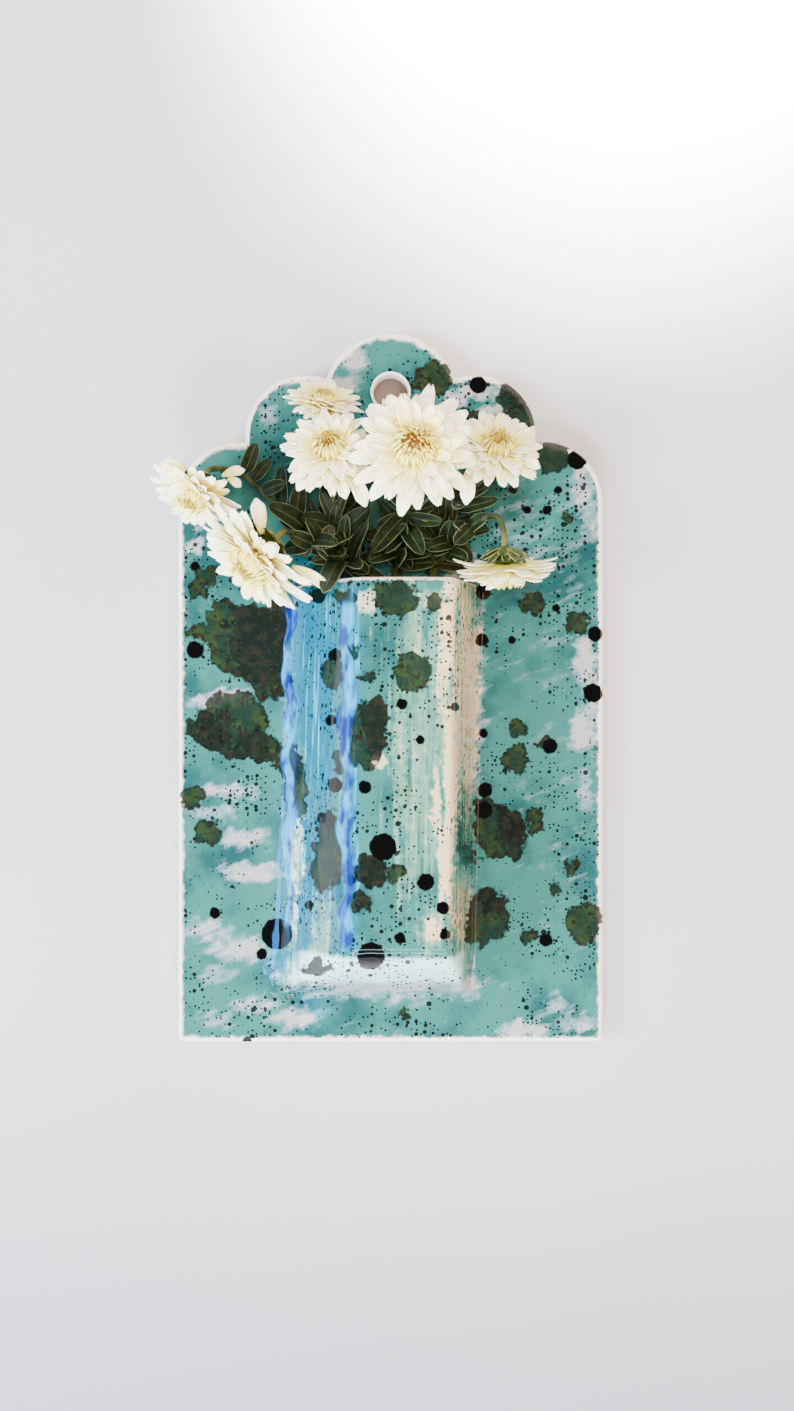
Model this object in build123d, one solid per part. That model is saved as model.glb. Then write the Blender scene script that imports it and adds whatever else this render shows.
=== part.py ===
from build123d import *
import math
import os

# A slab-built, glazed stoneware wall vase: a scalloped back plaque with a hanging hole, and a draped pocket
# luted on its front. Three cut sprays of chrysanthemum stand in the pocket, and each lifts out.
# The origin is the centre of the hanging hole on the plaque's back face. The front looks along -Y, +Z is up.

# Back plaque
plaque_width = 120.0
plaque_drop = 183.4
plaque_thickness = 6.0
plaque_edge_round = 1.3
bottom_corner_radius = 2.2
cusp_radius = 1.0
cusp_search_share = 0.1
hole_radius = 4.9
hole_edge_bevel = 0.8
# The five lobes of the top, as shares of the plaque's width
crown_radius_share = 0.161
crown_drop_share = 0.021
side_lobe_radius_share = 0.142
side_lobe_spread_share = 0.2
side_lobe_drop_share = 0.1
shoulder_radius_share = 0.142
shoulder_drop_share = 0.258

# Pocket: the left and right sizes differ because the slab was draped by hand
mouth_drop = 54.3
pocket_depth = 27.0
pocket_wall = 4.0
mouth_foot_left = 26.1
mouth_foot_right = 24.9
mouth_ridge_left = 10.6
mouth_ridge_right = 17.8
base_foot_left = 33.9
base_foot_right = 22.4
base_ridge_left = 12.5
base_ridge_right = 16.2
base_drop = 170.0
underside_rise = 14.0
ridge_radius = 5.0
inner_ridge_radius = 2.0
front_bulge = 0.8
arc_chords = 3
lip_bevel = 1.2
heel_radius = 3.5
heel_start_share = 0.6
seam_width = 5.0
seam_toe = 0.5
seam_corner_radius = 6.0
seam_hollow_share = 0.2

# Sprays: places above the mouth are shares of the bouquet's span, from the middle of the mouth's back edge
bouquet_span = 120.0
stem_radius = 1.5
branch_radius = 1.1
stem_clearance = 0.3
floor_clearance = 0.3
left_stem_offset = -10.0
centre_stem_offset = 2.0
right_stem_offset = 12.0
left_stem_lean = -0.08
centre_stem_lean = -0.02
right_stem_lean = 0.03
stem_sides = 8

# Flower heads
main_head_radius = 16.5
left_head_radius = 13.0
back_head_radius = 10.5
low_left_head_radius = 17.0
far_left_head_radius = 12.5
right_head_radius = 13.0
nodding_head_radius = 14.0
petal_thickness = 0.5
petal_count = 15
inner_petal_count = 11
eye_sides = 12
calyx_sides = 10

# Leaves
leaf_thickness = 0.5
leaf_width = 5.0

# Derived places
front_y = -plaque_thickness
crown_radius = crown_radius_share * plaque_width
crown_centre_drop = crown_drop_share * plaque_width
side_lobe_radius = side_lobe_radius_share * plaque_width
side_lobe_spread = side_lobe_spread_share * plaque_width
side_lobe_drop = side_lobe_drop_share * plaque_width
shoulder_radius = shoulder_radius_share * plaque_width
shoulder_drop = shoulder_drop_share * plaque_width
shoulder_spread = plaque_width / 2 - shoulder_radius
stem_y = front_y - stem_clearance - stem_radius


def unit(vector):
    return vector * (1 / vector.length)


def faceted(rings):
    # A solid with flat sides through rings of corners, closed at its first and last ring
    outlines = [rings[0][::-1], rings[-1]]
    for near, far in zip(rings, rings[1:]):
        for first in range(len(near)):
            second = (first + 1) % len(near)
            outlines.append([near[first], near[second], far[second], far[first]])
    return Solid(Shell([Face(Wire.make_polygon(outline)) for outline in outlines]))


def corners_around(radius, sides, height=0):
    turns = [2 * math.pi * side / sides for side in range(sides)]
    return [Vector(radius * math.cos(turn), radius * math.sin(turn), height) for turn in turns]


# Back plaque

def crossing(centre_a, radius_a, centre_b, radius_b):
    # The upper point where two lobes of the outline meet
    apart = centre_b - centre_a
    along = (apart.length ** 2 + radius_a ** 2 - radius_b ** 2) / (2 * apart.length)
    height = math.sqrt(radius_a ** 2 - along ** 2)
    direction = unit(apart)
    across = Vector(-direction.Y, direction.X)
    if across.Y < 0:
        across = across * -1
    return centre_a + direction * along + across * height


def plaque_outline():
    crown = Vector(0, -crown_centre_drop)
    outline = Pos(0, crown.Y) * Circle(crown_radius)
    slab_height = plaque_drop - shoulder_drop
    slab = Pos(0, -shoulder_drop - slab_height / 2) * Rectangle(plaque_width, slab_height)
    slab = fillet(slab.vertices().sort_by(Axis.Y)[:2], bottom_corner_radius)
    outline = outline + slab
    cusps = []
    for side in (-1, 1):
        lobe = Vector(side * side_lobe_spread, -side_lobe_drop)
        shoulder = Vector(side * shoulder_spread, -shoulder_drop)
        outline = outline + Pos(lobe.X, lobe.Y) * Circle(side_lobe_radius)
        outline = outline + Pos(shoulder.X, shoulder.Y) * Circle(shoulder_radius)
        cusps.append(crossing(crown, crown_radius, lobe, side_lobe_radius))
        cusps.append(crossing(lobe, side_lobe_radius, shoulder, shoulder_radius))
    lobe_tops = [Vector(0, -crown_centre_drop), Vector(side_lobe_spread, -side_lobe_drop)]
    lobe_tops += [Vector(shoulder_spread, -shoulder_drop), Vector(-shoulder_spread, -shoulder_drop)]
    lobe_tops += [Vector(-side_lobe_spread, -side_lobe_drop)]
    outline = outline + make_face(Polyline(*lobe_tops, close=True))
    search = cusp_search_share * cusp_radius
    meeting = [v for v in outline.vertices() if min((Vector(v) - cusp).length for cusp in cusps) < search]
    return fillet(meeting, cusp_radius)


def make_back_plaque():
    slab = extrude(Plane.XZ * plaque_outline(), plaque_thickness)
    slab = fillet(slab.faces().sort_by(Axis.Y)[0].edges(), plaque_edge_round)
    slab = slab - extrude(Plane.XZ * Circle(hole_radius), plaque_thickness)
    rims = [edge for edge in slab.faces().sort_by(Axis.Y)[0].edges() if edge.geom_type == GeomType.CIRCLE]
    return chamfer(min(rims, key=lambda edge: edge.arc_center.length), hole_edge_bevel)


# Pocket

def with_chords(outline):
    # The same outline with its arcs as chords, so that the walls ruled between two of them stay light
    corners = []
    for edge in outline.faces()[0].outer_wire().order_edges():
        chords = 1 if edge.geom_type == GeomType.LINE else arc_chords
        corners += [edge @ (step / chords) for step in range(chords)]
    return make_face(Polyline(*corners, close=True))


def pocket_section(at_base, inset):
    # One level of the draped slab seen from above: flank, ridge, slightly bowed front, ridge, flank
    foot_left = -(base_foot_left if at_base else mouth_foot_left)
    foot_right = base_foot_right if at_base else mouth_foot_right
    ridge_left = -(base_ridge_left if at_base else mouth_ridge_left)
    ridge_right = base_ridge_right if at_base else mouth_ridge_right
    left_run = (ridge_left - foot_left) / pocket_depth
    right_run = (ridge_right - foot_right) / pocket_depth
    depth = pocket_depth - inset
    foot_left = foot_left + inset * math.hypot(1, left_run)
    foot_right = foot_right - inset * math.hypot(1, right_run)
    ridge_left = foot_left + depth * left_run
    ridge_right = foot_right + depth * right_run
    level = -base_drop if at_base else -mouth_drop
    round_radius = inner_ridge_radius if inset else ridge_radius
    front = front_y - depth
    middle = ((ridge_left + ridge_right) / 2, front - front_bulge)
    sides = [Line((foot_left, front_y), (ridge_left, front))]
    sides.append(ThreePointArc((ridge_left, front), middle, (ridge_right, front)))
    sides.append(Line((ridge_right, front), (foot_right, front_y)))
    sides.append(Line((foot_right, front_y), (foot_left, front_y)))
    face = make_face(sides)
    face = fillet(face.vertices().sort_by(Axis.Y)[:2], round_radius)
    return Pos(0, 0, level) * with_chords(face)


def underside_plane(inset):
    # The sloping bottom rises forward from the foot on the plaque
    normal = unit(Vector(0, underside_rise, pocket_depth))
    foot = Vector(0, front_y, -base_drop)
    return Plane(origin=foot + normal * inset, x_dir=(1, 0, 0), z_dir=normal)


def pocket_outer():
    body = loft([pocket_section(False, 0), pocket_section(True, 0)], ruled=True)
    body = split(body, bisect_by=underside_plane(0), keep=Keep.TOP)
    under = body.faces().sort_by(Axis.Z)[0]
    heel_start = front_y - heel_start_share * pocket_depth
    heel = [edge for edge in under.edges() if edge.bounding_box().max.Y < heel_start]
    return fillet(heel, heel_radius)


def make_pocket_floor(outer):
    return split(outer, bisect_by=underside_plane(pocket_wall), keep=Keep.BOTTOM)


def make_pocket_front(outer):
    shell = split(outer, bisect_by=underside_plane(pocket_wall), keep=Keep.TOP)
    shell = shell - loft([pocket_section(False, pocket_wall), pocket_section(True, pocket_wall)], ruled=True)
    lip = shell.edges().filter_by_position(Axis.Z, -mouth_drop - seam_toe, -mouth_drop + seam_toe)
    lip = [edge for edge in lip if edge.bounding_box().min.Y < front_y - seam_toe]
    return chamfer(lip, lip_bevel)


def make_seam_coil(outer):
    # A smeared coil in the angle between pocket and plaque: blunt toe, hollow back up to the pocket's wall
    lean = (base_foot_left - base_ridge_left) / pocket_depth
    climb = seam_width / math.hypot(1, lean)
    top = -mouth_drop - lip_bevel
    route = [(-mouth_foot_left, front_y, top), (-base_foot_left, front_y, -base_drop)]
    route += [(base_foot_right, front_y, -base_drop), (mouth_foot_right, front_y, top)]
    path = FilletPolyline(*route, radius=seam_corner_radius)
    start = Plane(origin=route[0], x_dir=(-1, 0, 0), z_dir=Vector(*route[1]) - Vector(*route[0]))
    hollow = (seam_hollow_share * seam_width, -seam_hollow_share * climb)
    profile = [(seam_width, 0), (seam_width, -seam_toe), hollow, (-lean * climb, -climb)]
    profile += [(-lean * climb - seam_toe, -climb), (-seam_toe, 0)]
    coil = sweep(start * make_face(Polyline(*profile, close=True)), path=path)
    return (coil - outer).solids().sort_by(SortBy.VOLUME)[-1]


# Sprays

def spot(shares):
    # A place in the bouquet: across, out from the plaque's front, and up from the mouth
    across, out, up = shares
    return Vector(across * bouquet_span, front_y - out * bouquet_span, -mouth_drop + up * bouquet_span)


def blade(length, width, thickness, place_shares, width_shares, lift_shares):
    # A bent plate along +X with flat facets, whose upright sections widen, narrow and lift with the distance
    rings = []
    for place, breadth, lift in zip(place_shares, width_shares, lift_shares):
        half = breadth * width / 2
        low = lift * length - thickness / 2
        high = lift * length + thickness / 2
        corners = ((-half, low), (half, low), (half, high), (-half, high))
        rings.append([Vector(place * length, across, up) for across, up in corners])
    return faceted(rings)


petal_place_shares = (0, 0.55, 1)
petal_width_shares = (0.25, 1, 0.4)
petal_lift_shares = (0, 0.06, 0)
petal_length_shares = (1, 0.92, 1.03, 0.95, 0.88, 1.05, 0.97)
petal_breadth_share = 0.24
petal_root_share = 0.048
hub_radius_share = 0.24
hub_height_share = 0.075
inner_hub_share = 0.2
inner_hub_heights = 2
eye_radius_share = 0.17
calyx_depth_share = 0.3
# Each ring of petals: how far it reaches, how high its roots are in hub heights, and its rise in degrees
outer_ring_shares = (1, 0.5)
inner_ring_shares = (0.8, 1)
outer_rise = 9
inner_rise = 28
eye_profile_shares = ((0, 0.9), (0.35, 1), (0.75, 0.7), (1, 0.25))
calyx_profile_shares = ((-calyx_depth_share, 0.09), (-0.2, 0.22), (0, 0.3))


def whorl(count, radius, hub_radius, hub_heights, ring_shares, rise):
    # A ring of petals, each rooted in the middle of one side of their hub
    reach_share, level_share = ring_shares
    hub_height = hub_height_share * radius
    whole = extrude(Rot(0, 0, 180 / count) * RegularPolygon(hub_radius, count), hub_heights * hub_height)
    root_radius = hub_radius - petal_root_share * radius
    for index in range(count):
        tip_radius = reach_share * petal_length_shares[index % len(petal_length_shares)] * radius
        petal = blade(tip_radius - root_radius, petal_breadth_share * radius, petal_thickness,
                      petal_place_shares, petal_width_shares, petal_lift_shares)
        place = Pos(root_radius, 0, level_share * hub_height) * Rot(0, -rise, 0)
        whole = whole + Rot(0, 0, index * 360 / count) * place * petal
    return whole


def stacked(radius, profile_shares, level, sides):
    # A faceted round solid through rings given as height and width shares of a radius
    rings = [corners_around(width * radius, sides, level + height * radius) for height, width in profile_shares]
    return faceted(rings)


def flower_head(radius):
    # Two rings of petals over a cup of bracts, round a domed eye, facing +Z
    hub = hub_radius_share * radius
    inner_hub = inner_hub_share * radius
    hub_height = hub_height_share * radius
    eye_level = (1 + inner_hub_heights) * hub_height
    outer = whorl(petal_count, radius, hub, 1, outer_ring_shares, outer_rise)
    inner = whorl(inner_petal_count, radius, inner_hub, inner_hub_heights, inner_ring_shares, inner_rise)
    return {
        "outer_petals": outer,
        "inner_petals": Pos(0, 0, hub_height) * inner,
        "eye": stacked(eye_radius_share * radius, eye_profile_shares, eye_level, eye_sides),
        "calyx": stacked(radius, calyx_profile_shares, 0, calyx_sides),
    }


# Where each head sits in the bouquet. The nodding one hangs beside the pocket's right flank, so it goes by its own
# radius, across from the flank's foot and up from the mouth, and by the pocket's depth.
head_shares = {
    "far_left": (-0.4375, 0.117, 0.21),
    "low_left": (-0.287, 0.175, 0.059),
    "back": (-0.1575, 0.075, 0.4),
    "left": (-0.134, 0.183, 0.275),
    "main": (0.0525, 0.25, 0.271),
    "right": (0.237, 0.133, 0.2825),
}
nodding_shares = (0.43, 0.74, 0.32)
# Which way each head faces, its radius, and the bends of its own branch between the fork and its neck
head_facings = {
    "far_left": ((-0.33, -0.47, -0.82), far_left_head_radius),
    "low_left": ((-0.6, -0.42, -0.68), low_left_head_radius),
    "back": ((0.2, -0.6, 0.77), back_head_radius),
    "left": ((-0.05, -0.88, 0.47), left_head_radius),
    "main": ((0, -0.98, 0.17), main_head_radius),
    "right": ((0.15, -0.8, 0.58), right_head_radius),
    "nodding": ((0.05, 0.25, -0.967), nodding_head_radius),
}
branch_shares = {
    "far_left": ((-0.167, 0.029, 0.094), (-0.275, 0.0375, 0.19), (-0.35, 0.05, 0.261)),
    "low_left": ((-0.125, 0.042, 0.057), (-0.183, 0.083, 0.09)),
    "back": ((-0.129, 0.025, 0.119), (-0.1625, 0.029, 0.269)),
    "left": ((-0.125, 0.033, 0.086), (-0.133, 0.075, 0.1525)),
    "main": ((0.025, 0.029, 0.086), (0.046, 0.075, 0.186)),
    "right": ((0.121, 0.029, 0.119), (0.167, 0.0375, 0.2025)),
    "nodding": ((0.142, 0.042, 0.09), (0.204, 0.096, 0.14), (0.244, 0.15, 0.148)),
}
fork_share = 0.036
neck_share = 0.3

# Each leaf: the branch that carries it, the run of that branch, how far along it, its tip, breadth and roll
leaf_place_shares = (0, 0.3, 0.62, 1)
leaf_breadth_shares = (0.15, 0.78, 1, 0.2)
leaf_lift_shares = (0, 0.06, 0.07, -0.02)
leaf_shares = {
    "left": (
        ("far_left", 2, 0.85, (-0.31, 0.065, 0.32), 0.8, 10),
        ("far_left", 2, 0.3, (-0.245, 0.09, 0.225), 0.75, 20),
        ("far_left", 1, 0.75, (-0.255, 0.045, 0.27), 0.78, -20),
        ("far_left", 1, 0.12, (-0.27, 0.1, 0.175), 1.2, 15),
        ("far_left", 0, 0.75, (-0.19, 0.06, 0.19), 0.88, -25),
        ("low_left", 1, 0.6, (-0.135, 0.115, 0.125), 0.75, 30),
        ("low_left", 0, 0.8, (-0.145, 0.21, -0.022), 1.1, 0),
        ("left", 1, 0.3, (-0.05, 0.1, 0.165), 1.1, 20),
        ("left", 0, 0.7, (-0.1, 0.125, 0.147), 0.7, 0),
        ("low_left", 0, 0.2, (-0.058, 0.117, 0.13), 0.7, -20),
        ("low_left", 0, 0.3, (-0.07, 0.165, 0.03), 0.9, 0),
        ("left", 1, 0.85, (-0.157, 0.117, 0.2), 0.6, 0),
        ("left", 0, 0.75, (-0.175, 0.06, 0.12), 0.9, 0),
        ("low_left", 0, 0.05, (-0.055, 0.08, 0.025), 0.9, 0),
        ("far_left", 1, 0.3, (-0.2, 0.03, 0.06), 0.9, 0),
        ("far_left", 1, 0.5, (-0.208, 0.054, 0.2275), 0.9, 0),
        ("far_left", 2, 0.6, (-0.28, 0.03, 0.29), 0.7, 0),
        ("left", 1, 0.8, (-0.104, 0.108, 0.198), 0.6, 0),
        ("left", 1, 0.6, (-0.058, 0.058, 0.21), 0.9, 0),
    ),
    "centre": (
        ("main", 1, 0.75, (-0.04, 0.108, 0.068), 1, 0),
        ("main", 1, 0.45, (0.07, 0.133, 0.065), 1, 10),
        ("main", 1, 0.2, (0.1, 0.075, 0.085), 0.9, 0),
        ("main", 0, 0.05, (0.035, 0.117, 0.06), 1.1, 0),
        ("main", 1, 0.65, (0.118, 0.1, 0.135), 0.7, 30),
        ("main", 0, 0.9, (-0.05, 0.08, 0.05), 0.9, 0),
        ("main", 1, 0.9, (0, 0.1, 0.2), 0.8, -20),
        ("main", 1, 0.8, (0.092, 0.075, 0.22), 0.9, 0),
        ("main", 1, 0.6, (0.108, 0.054, 0.16), 0.8, 0),
        ("main", 0, 0.1, (0.104, 0.058, 0.048), 0.9, 0),
        ("main", 0, 0.8, (-0.042, 0.042, 0.12), 0.9, 0),
    ),
    "right": (
        ("nodding", 0, 0.6, (0.137, 0.092, 0.139), 0.92, 0),
        ("right", 1, 0.6, (0.247, 0.075, 0.19), 0.7, 10),
        ("right", 1, 0.15, (0.244, 0.058, 0.155), 0.7, -30),
        ("nodding", 1, 0.3, (0.23, 0.058, 0.124), 0.5, 0),
        ("right", 0, 0.7, (0.083, 0.067, 0.136), 0.7, 0),
        ("nodding", 0, 0.2, (0.175, 0.067, 0.036), 0.9, 0),
        ("right", 1, 0.1, (0.13, 0.067, 0.215), 0.8, 0),
    ),
}
spray_heads = {
    "left": ("far_left", "low_left", "back", "left"),
    "centre": ("main",),
    "right": ("right", "nodding"),
}
spray_stems = {
    "left": (left_stem_offset, left_stem_lean),
    "centre": (centre_stem_offset, centre_stem_lean),
    "right": (right_stem_offset, right_stem_lean),
}


def stem_place(spray, height):
    # A point on the straight lower stem, at a height above the mouth
    offset, lean = spray_stems[spray]
    return Vector(offset + lean * height, stem_y, -mouth_drop + height)


def stem_foot_height():
    # The cut end stands just clear of the sloping floor, at its highest point under the stem
    floor_rise = underside_rise / pocket_depth
    floor_at_plaque = -base_drop + pocket_wall * math.hypot(1, floor_rise)
    reach = stem_clearance + 2 * stem_radius
    return floor_at_plaque + floor_rise * reach + floor_clearance + mouth_drop


def head_centre(head):
    if head in head_shares:
        return spot(head_shares[head])
    across, out, up = nodding_shares
    beside = mouth_foot_right + across * nodding_head_radius
    return Vector(beside, front_y - out * pocket_depth, -mouth_drop + up * nodding_head_radius)


def branch_points(spray, head):
    facing, radius = head_facings[head]
    facing = unit(Vector(*facing))
    neck_end = head_centre(head) - facing * (calyx_depth_share * radius)
    points = [stem_place(spray, fork_share * bouquet_span)]
    points += [spot(shares) for shares in branch_shares[head]]
    return points + [neck_end - facing * (neck_share * radius), neck_end]


def tube(points, radius):
    # A branch with flat sides, whose straight runs meet in mitres
    run = unit(points[1] - points[0])
    start = Plane(origin=points[0], z_dir=run)
    rings = [[start.from_local_coords(corner) for corner in corners_around(radius, stem_sides)]]
    for index, joint in enumerate(points[1:], 1):
        ahead = unit(points[index + 1] - joint) if joint is not points[-1] else run
        mitre = unit(run + ahead)
        rings.append([corner + run * ((joint - corner).dot(mitre) / run.dot(mitre)) for corner in rings[-1]])
        run = ahead
    return faceted(rings)


def make_stem(spray):
    foot = stem_place(spray, stem_foot_height())
    fork = stem_place(spray, fork_share * bouquet_span)
    stem = tube([foot, fork + unit(fork - foot) * stem_radius], stem_radius)
    for head in spray_heads[spray]:
        stem = stem + tube(branch_points(spray, head), branch_radius)
    return stem


def make_leaf(base, tip, width, roll):
    along = unit(tip - base)
    toward = Vector(0, -1, 0)
    normal = unit(toward - along * toward.dot(along))
    place = Plane(origin=base, x_dir=along, z_dir=normal)
    length = (tip - base).length
    leaf = blade(length, width, leaf_thickness, leaf_place_shares, leaf_breadth_shares, leaf_lift_shares)
    return place * (Rot(roll, 0, 0) * leaf)


def make_leaves(spray, stem):
    leaves = []
    for head, run, share, tip_shares, breadth_share, roll in leaf_shares[spray]:
        points = branch_points(spray, head)
        base = points[run] + (points[run + 1] - points[run]) * share
        leaf = make_leaf(base, spot(tip_shares), breadth_share * leaf_width, roll)
        pieces = (leaf - stem).solids().sort_by(SortBy.VOLUME)
        leaves.append(pieces[-1])
    return Compound(children=leaves)


def make_spray(spray):
    stem = make_stem(spray)
    nodes = {f"{spray}_spray_stem": stem, f"{spray}_spray_leaves": make_leaves(spray, stem)}
    for head in spray_heads[spray]:
        facing, radius = head_facings[head]
        place = Plane(origin=head_centre(head), z_dir=Vector(*facing))
        for piece, solid in flower_head(radius).items():
            nodes[f"{head}_bloom_{piece}"] = place * solid
    return nodes


def main():
    os.makedirs("parts", exist_ok=True)
    outer = pocket_outer()
    nodes = {
        "back_plaque": make_back_plaque(),
        "pocket_front": make_pocket_front(outer),
        "pocket_floor": make_pocket_floor(outer),
        "seam_coil": make_seam_coil(outer),
    }
    for spray in spray_heads:
        nodes.update(make_spray(spray))
    for name, shape in nodes.items():
        export_step(shape, f"parts/{name}.step")


main()
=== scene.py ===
import bmesh
import bpy
import math
import mathutils
import numpy as np
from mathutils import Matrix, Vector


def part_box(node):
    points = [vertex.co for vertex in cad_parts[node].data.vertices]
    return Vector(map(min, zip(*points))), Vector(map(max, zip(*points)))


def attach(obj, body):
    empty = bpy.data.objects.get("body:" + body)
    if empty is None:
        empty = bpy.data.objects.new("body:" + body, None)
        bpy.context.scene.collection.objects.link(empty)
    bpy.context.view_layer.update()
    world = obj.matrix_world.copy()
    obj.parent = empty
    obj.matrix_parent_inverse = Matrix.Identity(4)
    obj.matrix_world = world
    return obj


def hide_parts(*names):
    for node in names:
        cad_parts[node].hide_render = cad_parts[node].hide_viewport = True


# A glazed wall vase with chrysanthemums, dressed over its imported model.
# Metres, +Z up, the front looks along -Y, the origin is the hanging hole's centre on the back face.

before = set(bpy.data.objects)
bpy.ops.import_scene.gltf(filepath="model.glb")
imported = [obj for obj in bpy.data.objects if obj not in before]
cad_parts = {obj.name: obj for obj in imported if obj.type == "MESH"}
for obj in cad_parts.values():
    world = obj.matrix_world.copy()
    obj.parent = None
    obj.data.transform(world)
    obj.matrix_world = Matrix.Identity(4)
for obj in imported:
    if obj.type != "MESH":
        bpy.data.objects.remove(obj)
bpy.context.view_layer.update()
mm = 0.001

# The photograph: its frame in pixels, the wall vase's front plane seen square on, and the eye's place
view = {
    "pixelsWide": 794,
    "pixelsHigh": 1411,
    "eyeAcross": 1.83 * mm,
    "eyeHeight": -88.45 * mm,
    "eyeDistance": 447 * mm,       # from the plaque's front
    "pixel": 0.2817 * mm,          # one pixel on the plaque's front
}

plaqueLow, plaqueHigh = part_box("back_plaque")
frontY = plaqueLow.y
print("frame loaded:", len(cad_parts), "nodes")


# Helpers for shapes

def toPhoto(points):
    # Pixel of a point = image centre + its offset from the eye's axis over the size of a pixel at its depth
    depth = points[..., 1] - frontY + view["eyeDistance"]
    pixel = view["pixel"] * depth / view["eyeDistance"]
    across = view["pixelsWide"] / 2 + (points[..., 0] - view["eyeAcross"]) / pixel
    down = view["pixelsHigh"] / 2 - (points[..., 2] - view["eyeHeight"]) / pixel
    return across, down


def ramp(low, high, value):
    # 0 below low, 1 above high, straight between
    return np.clip((value - low) / (high - low), 0, 1)


def smoothStep(low, high, value):
    # The same ramp s, eased as 3s^2 - 2s^3
    share = ramp(low, high, value)
    return share * share * (3 - 2 * share)


def softMin(a, b, width):
    # The smaller of two heights, rounded where they are within width of each other
    share = np.clip(0.5 + 0.5 * (b - a) / width, 0, 1)
    return b + (a - b) * share - width * share * (1 - share)


def ripple(u, v, size, seed, waves=9):
    # Smooth noise about 0: a sum of sines with random directions, and wavelengths from size to size / 3
    rng = np.random.default_rng(seed)
    total = np.zeros(np.broadcast(u, v).shape)
    for turn, phase, finer in zip(rng.uniform(0, 2 * np.pi, waves), rng.uniform(0, 2 * np.pi, waves),
                                  rng.uniform(1, 3, waves)):
        reach = 2 * np.pi * finer / size
        total = total + np.sin(reach * (u * np.cos(turn) + v * np.sin(turn)) + phase)
    return total / math.sqrt(waves)


def unit(vector):
    return vector / np.linalg.norm(vector, axis=-1, keepdims=True)


def gridAxes(rows, columns, low=-1, high=1):
    # Two parameters for a stack of grids: 0 to 1 along the rows, low to high across the columns
    return np.linspace(0, 1, rows)[None, :, None], np.linspace(low, high, columns)[None, None, :]


def stackPoints(x, y, z):
    return np.stack(np.broadcast_arrays(x, y, z), axis=-1)


def gridFaces(count, rows, columns):
    # Quads of count separate grids of rows x columns points, numbered one after the other
    cell = np.arange(rows - 1)[:, None] * columns + np.arange(columns - 1)[None, :]
    quads = np.stack([cell, cell + 1, cell + columns + 1, cell + columns], axis=-1).reshape(-1, 4)
    starts = np.arange(count)[:, None, None] * rows * columns
    return (quads[None] + starts).reshape(-1, 4)


def withFields(points, along, across, tone=0.0):
    # A stack of grids with the attributes that the plants' finishes read
    fields = {"along": along, "across": across, "tone": tone}
    return points, {key: np.broadcast_to(values, points.shape[:3]) for key, values in fields.items()}


def joinGrids(parts):
    # Several stacks of equal grids as one list of points, quads and attributes
    points, faces, fields, start = [], [], {}, 0
    for grid, extra in parts:
        points.append(grid.reshape(-1, 3))
        faces.append(gridFaces(*grid.shape[:3]) + start)
        start += len(points[-1])
        for key, values in extra.items():
            fields.setdefault(key, []).append(np.asarray(values).reshape(-1))
    return np.concatenate(points), np.concatenate(faces), {key: np.concatenate(v) for key, v in fields.items()}


def addObject(name, data):
    item = bpy.data.objects.new(name, data)
    bpy.context.scene.collection.objects.link(item)
    return item


def buildMesh(name, points, faces, attributes=None):
    # A smooth-shaded mesh object from an array of points and an array of quads
    mesh = bpy.data.meshes.new(name)
    points = np.ascontiguousarray(points.reshape(-1, 3), np.float32)
    mesh.vertices.add(len(points))
    mesh.vertices.foreach_set("co", points.ravel())
    mesh.loops.add(faces.size)
    mesh.loops.foreach_set("vertex_index", faces.ravel().astype(np.int32))
    mesh.polygons.add(len(faces))
    mesh.polygons.foreach_set("loop_start", np.arange(0, faces.size, faces.shape[1], dtype=np.int32))
    mesh.polygons.foreach_set("use_smooth", np.ones(len(faces), bool))
    mesh.update(calc_edges=True)
    mesh.validate()
    for key, values in (attributes or {}).items():
        layer = mesh.attributes.new(key, "FLOAT", "POINT")
        layer.data.foreach_set("value", np.ascontiguousarray(values, np.float32).ravel())
    return addObject(name, mesh)


# Helpers for materials

def linear(hexColour):
    # sRGB hex to the linear colour that a socket takes
    parts = np.array([int(hexColour[i:i + 2], 16) / 255 for i in (1, 3, 5)])
    parts = np.where(parts <= 0.04045, parts / 12.92, ((parts + 0.055) / 1.055) ** 2.4)
    return (*parts.tolist(), 1.0)


def addNode(tree, kind, inputs=None, output=0, **settings):
    # One node with its settings; an input is a socket to link, a hex colour or a plain value
    node = tree.nodes.new("ShaderNode" + kind)
    for key, value in settings.items():
        setattr(node, key, value)
    for key, value in (inputs or {}).items():
        if isinstance(value, bpy.types.NodeSocket):
            tree.links.new(value, node.inputs[key])
        else:
            node.inputs[key].default_value = linear(value) if isinstance(value, str) else value
    return node.outputs[output] if len(node.outputs) else node


def newMaterial(name, look):
    # A material with a Principled shader; what is the same all over is set on the shader's own sockets
    material = bpy.data.materials.new(name)
    material.use_nodes = True
    tree = material.node_tree
    tree.nodes.clear()
    surface = addNode(tree, "BsdfPrincipled", look["surface"])
    addNode(tree, "OutputMaterial", {"Surface": surface})
    return material, tree, surface.node


def addPattern(tree, place, size, detail, stretch=(1, 1, 1), tilt=0):
    # Noise whose lumps have a real size, stretched along X, Y and Z after a turn about Y in degrees
    if tilt:
        place = addNode(tree, "Mapping", {"Vector": place, "Rotation": (0, math.radians(tilt), 0)})
    scaled = addNode(tree, "Mapping", {"Vector": place, "Scale": [1 / (size * factor) for factor in stretch]})
    return addNode(tree, "TexNoise", {"Vector": scaled, "Scale": 1, "Detail": detail, "Roughness": 0.55})


def readFields(tree, look):
    # What a finish reads: the place, the mesh's attributes, and patterns
    fields = {"place": addNode(tree, "TexCoord", output="Object")}
    for name in look.get("attributes", ()):
        fields[name] = addNode(tree, "Attribute", output="Fac", attribute_name=name)
    for name, values in look.get("patterns", {}).items():
        fields[name] = addPattern(tree, fields["place"], *values)
    return fields


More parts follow.
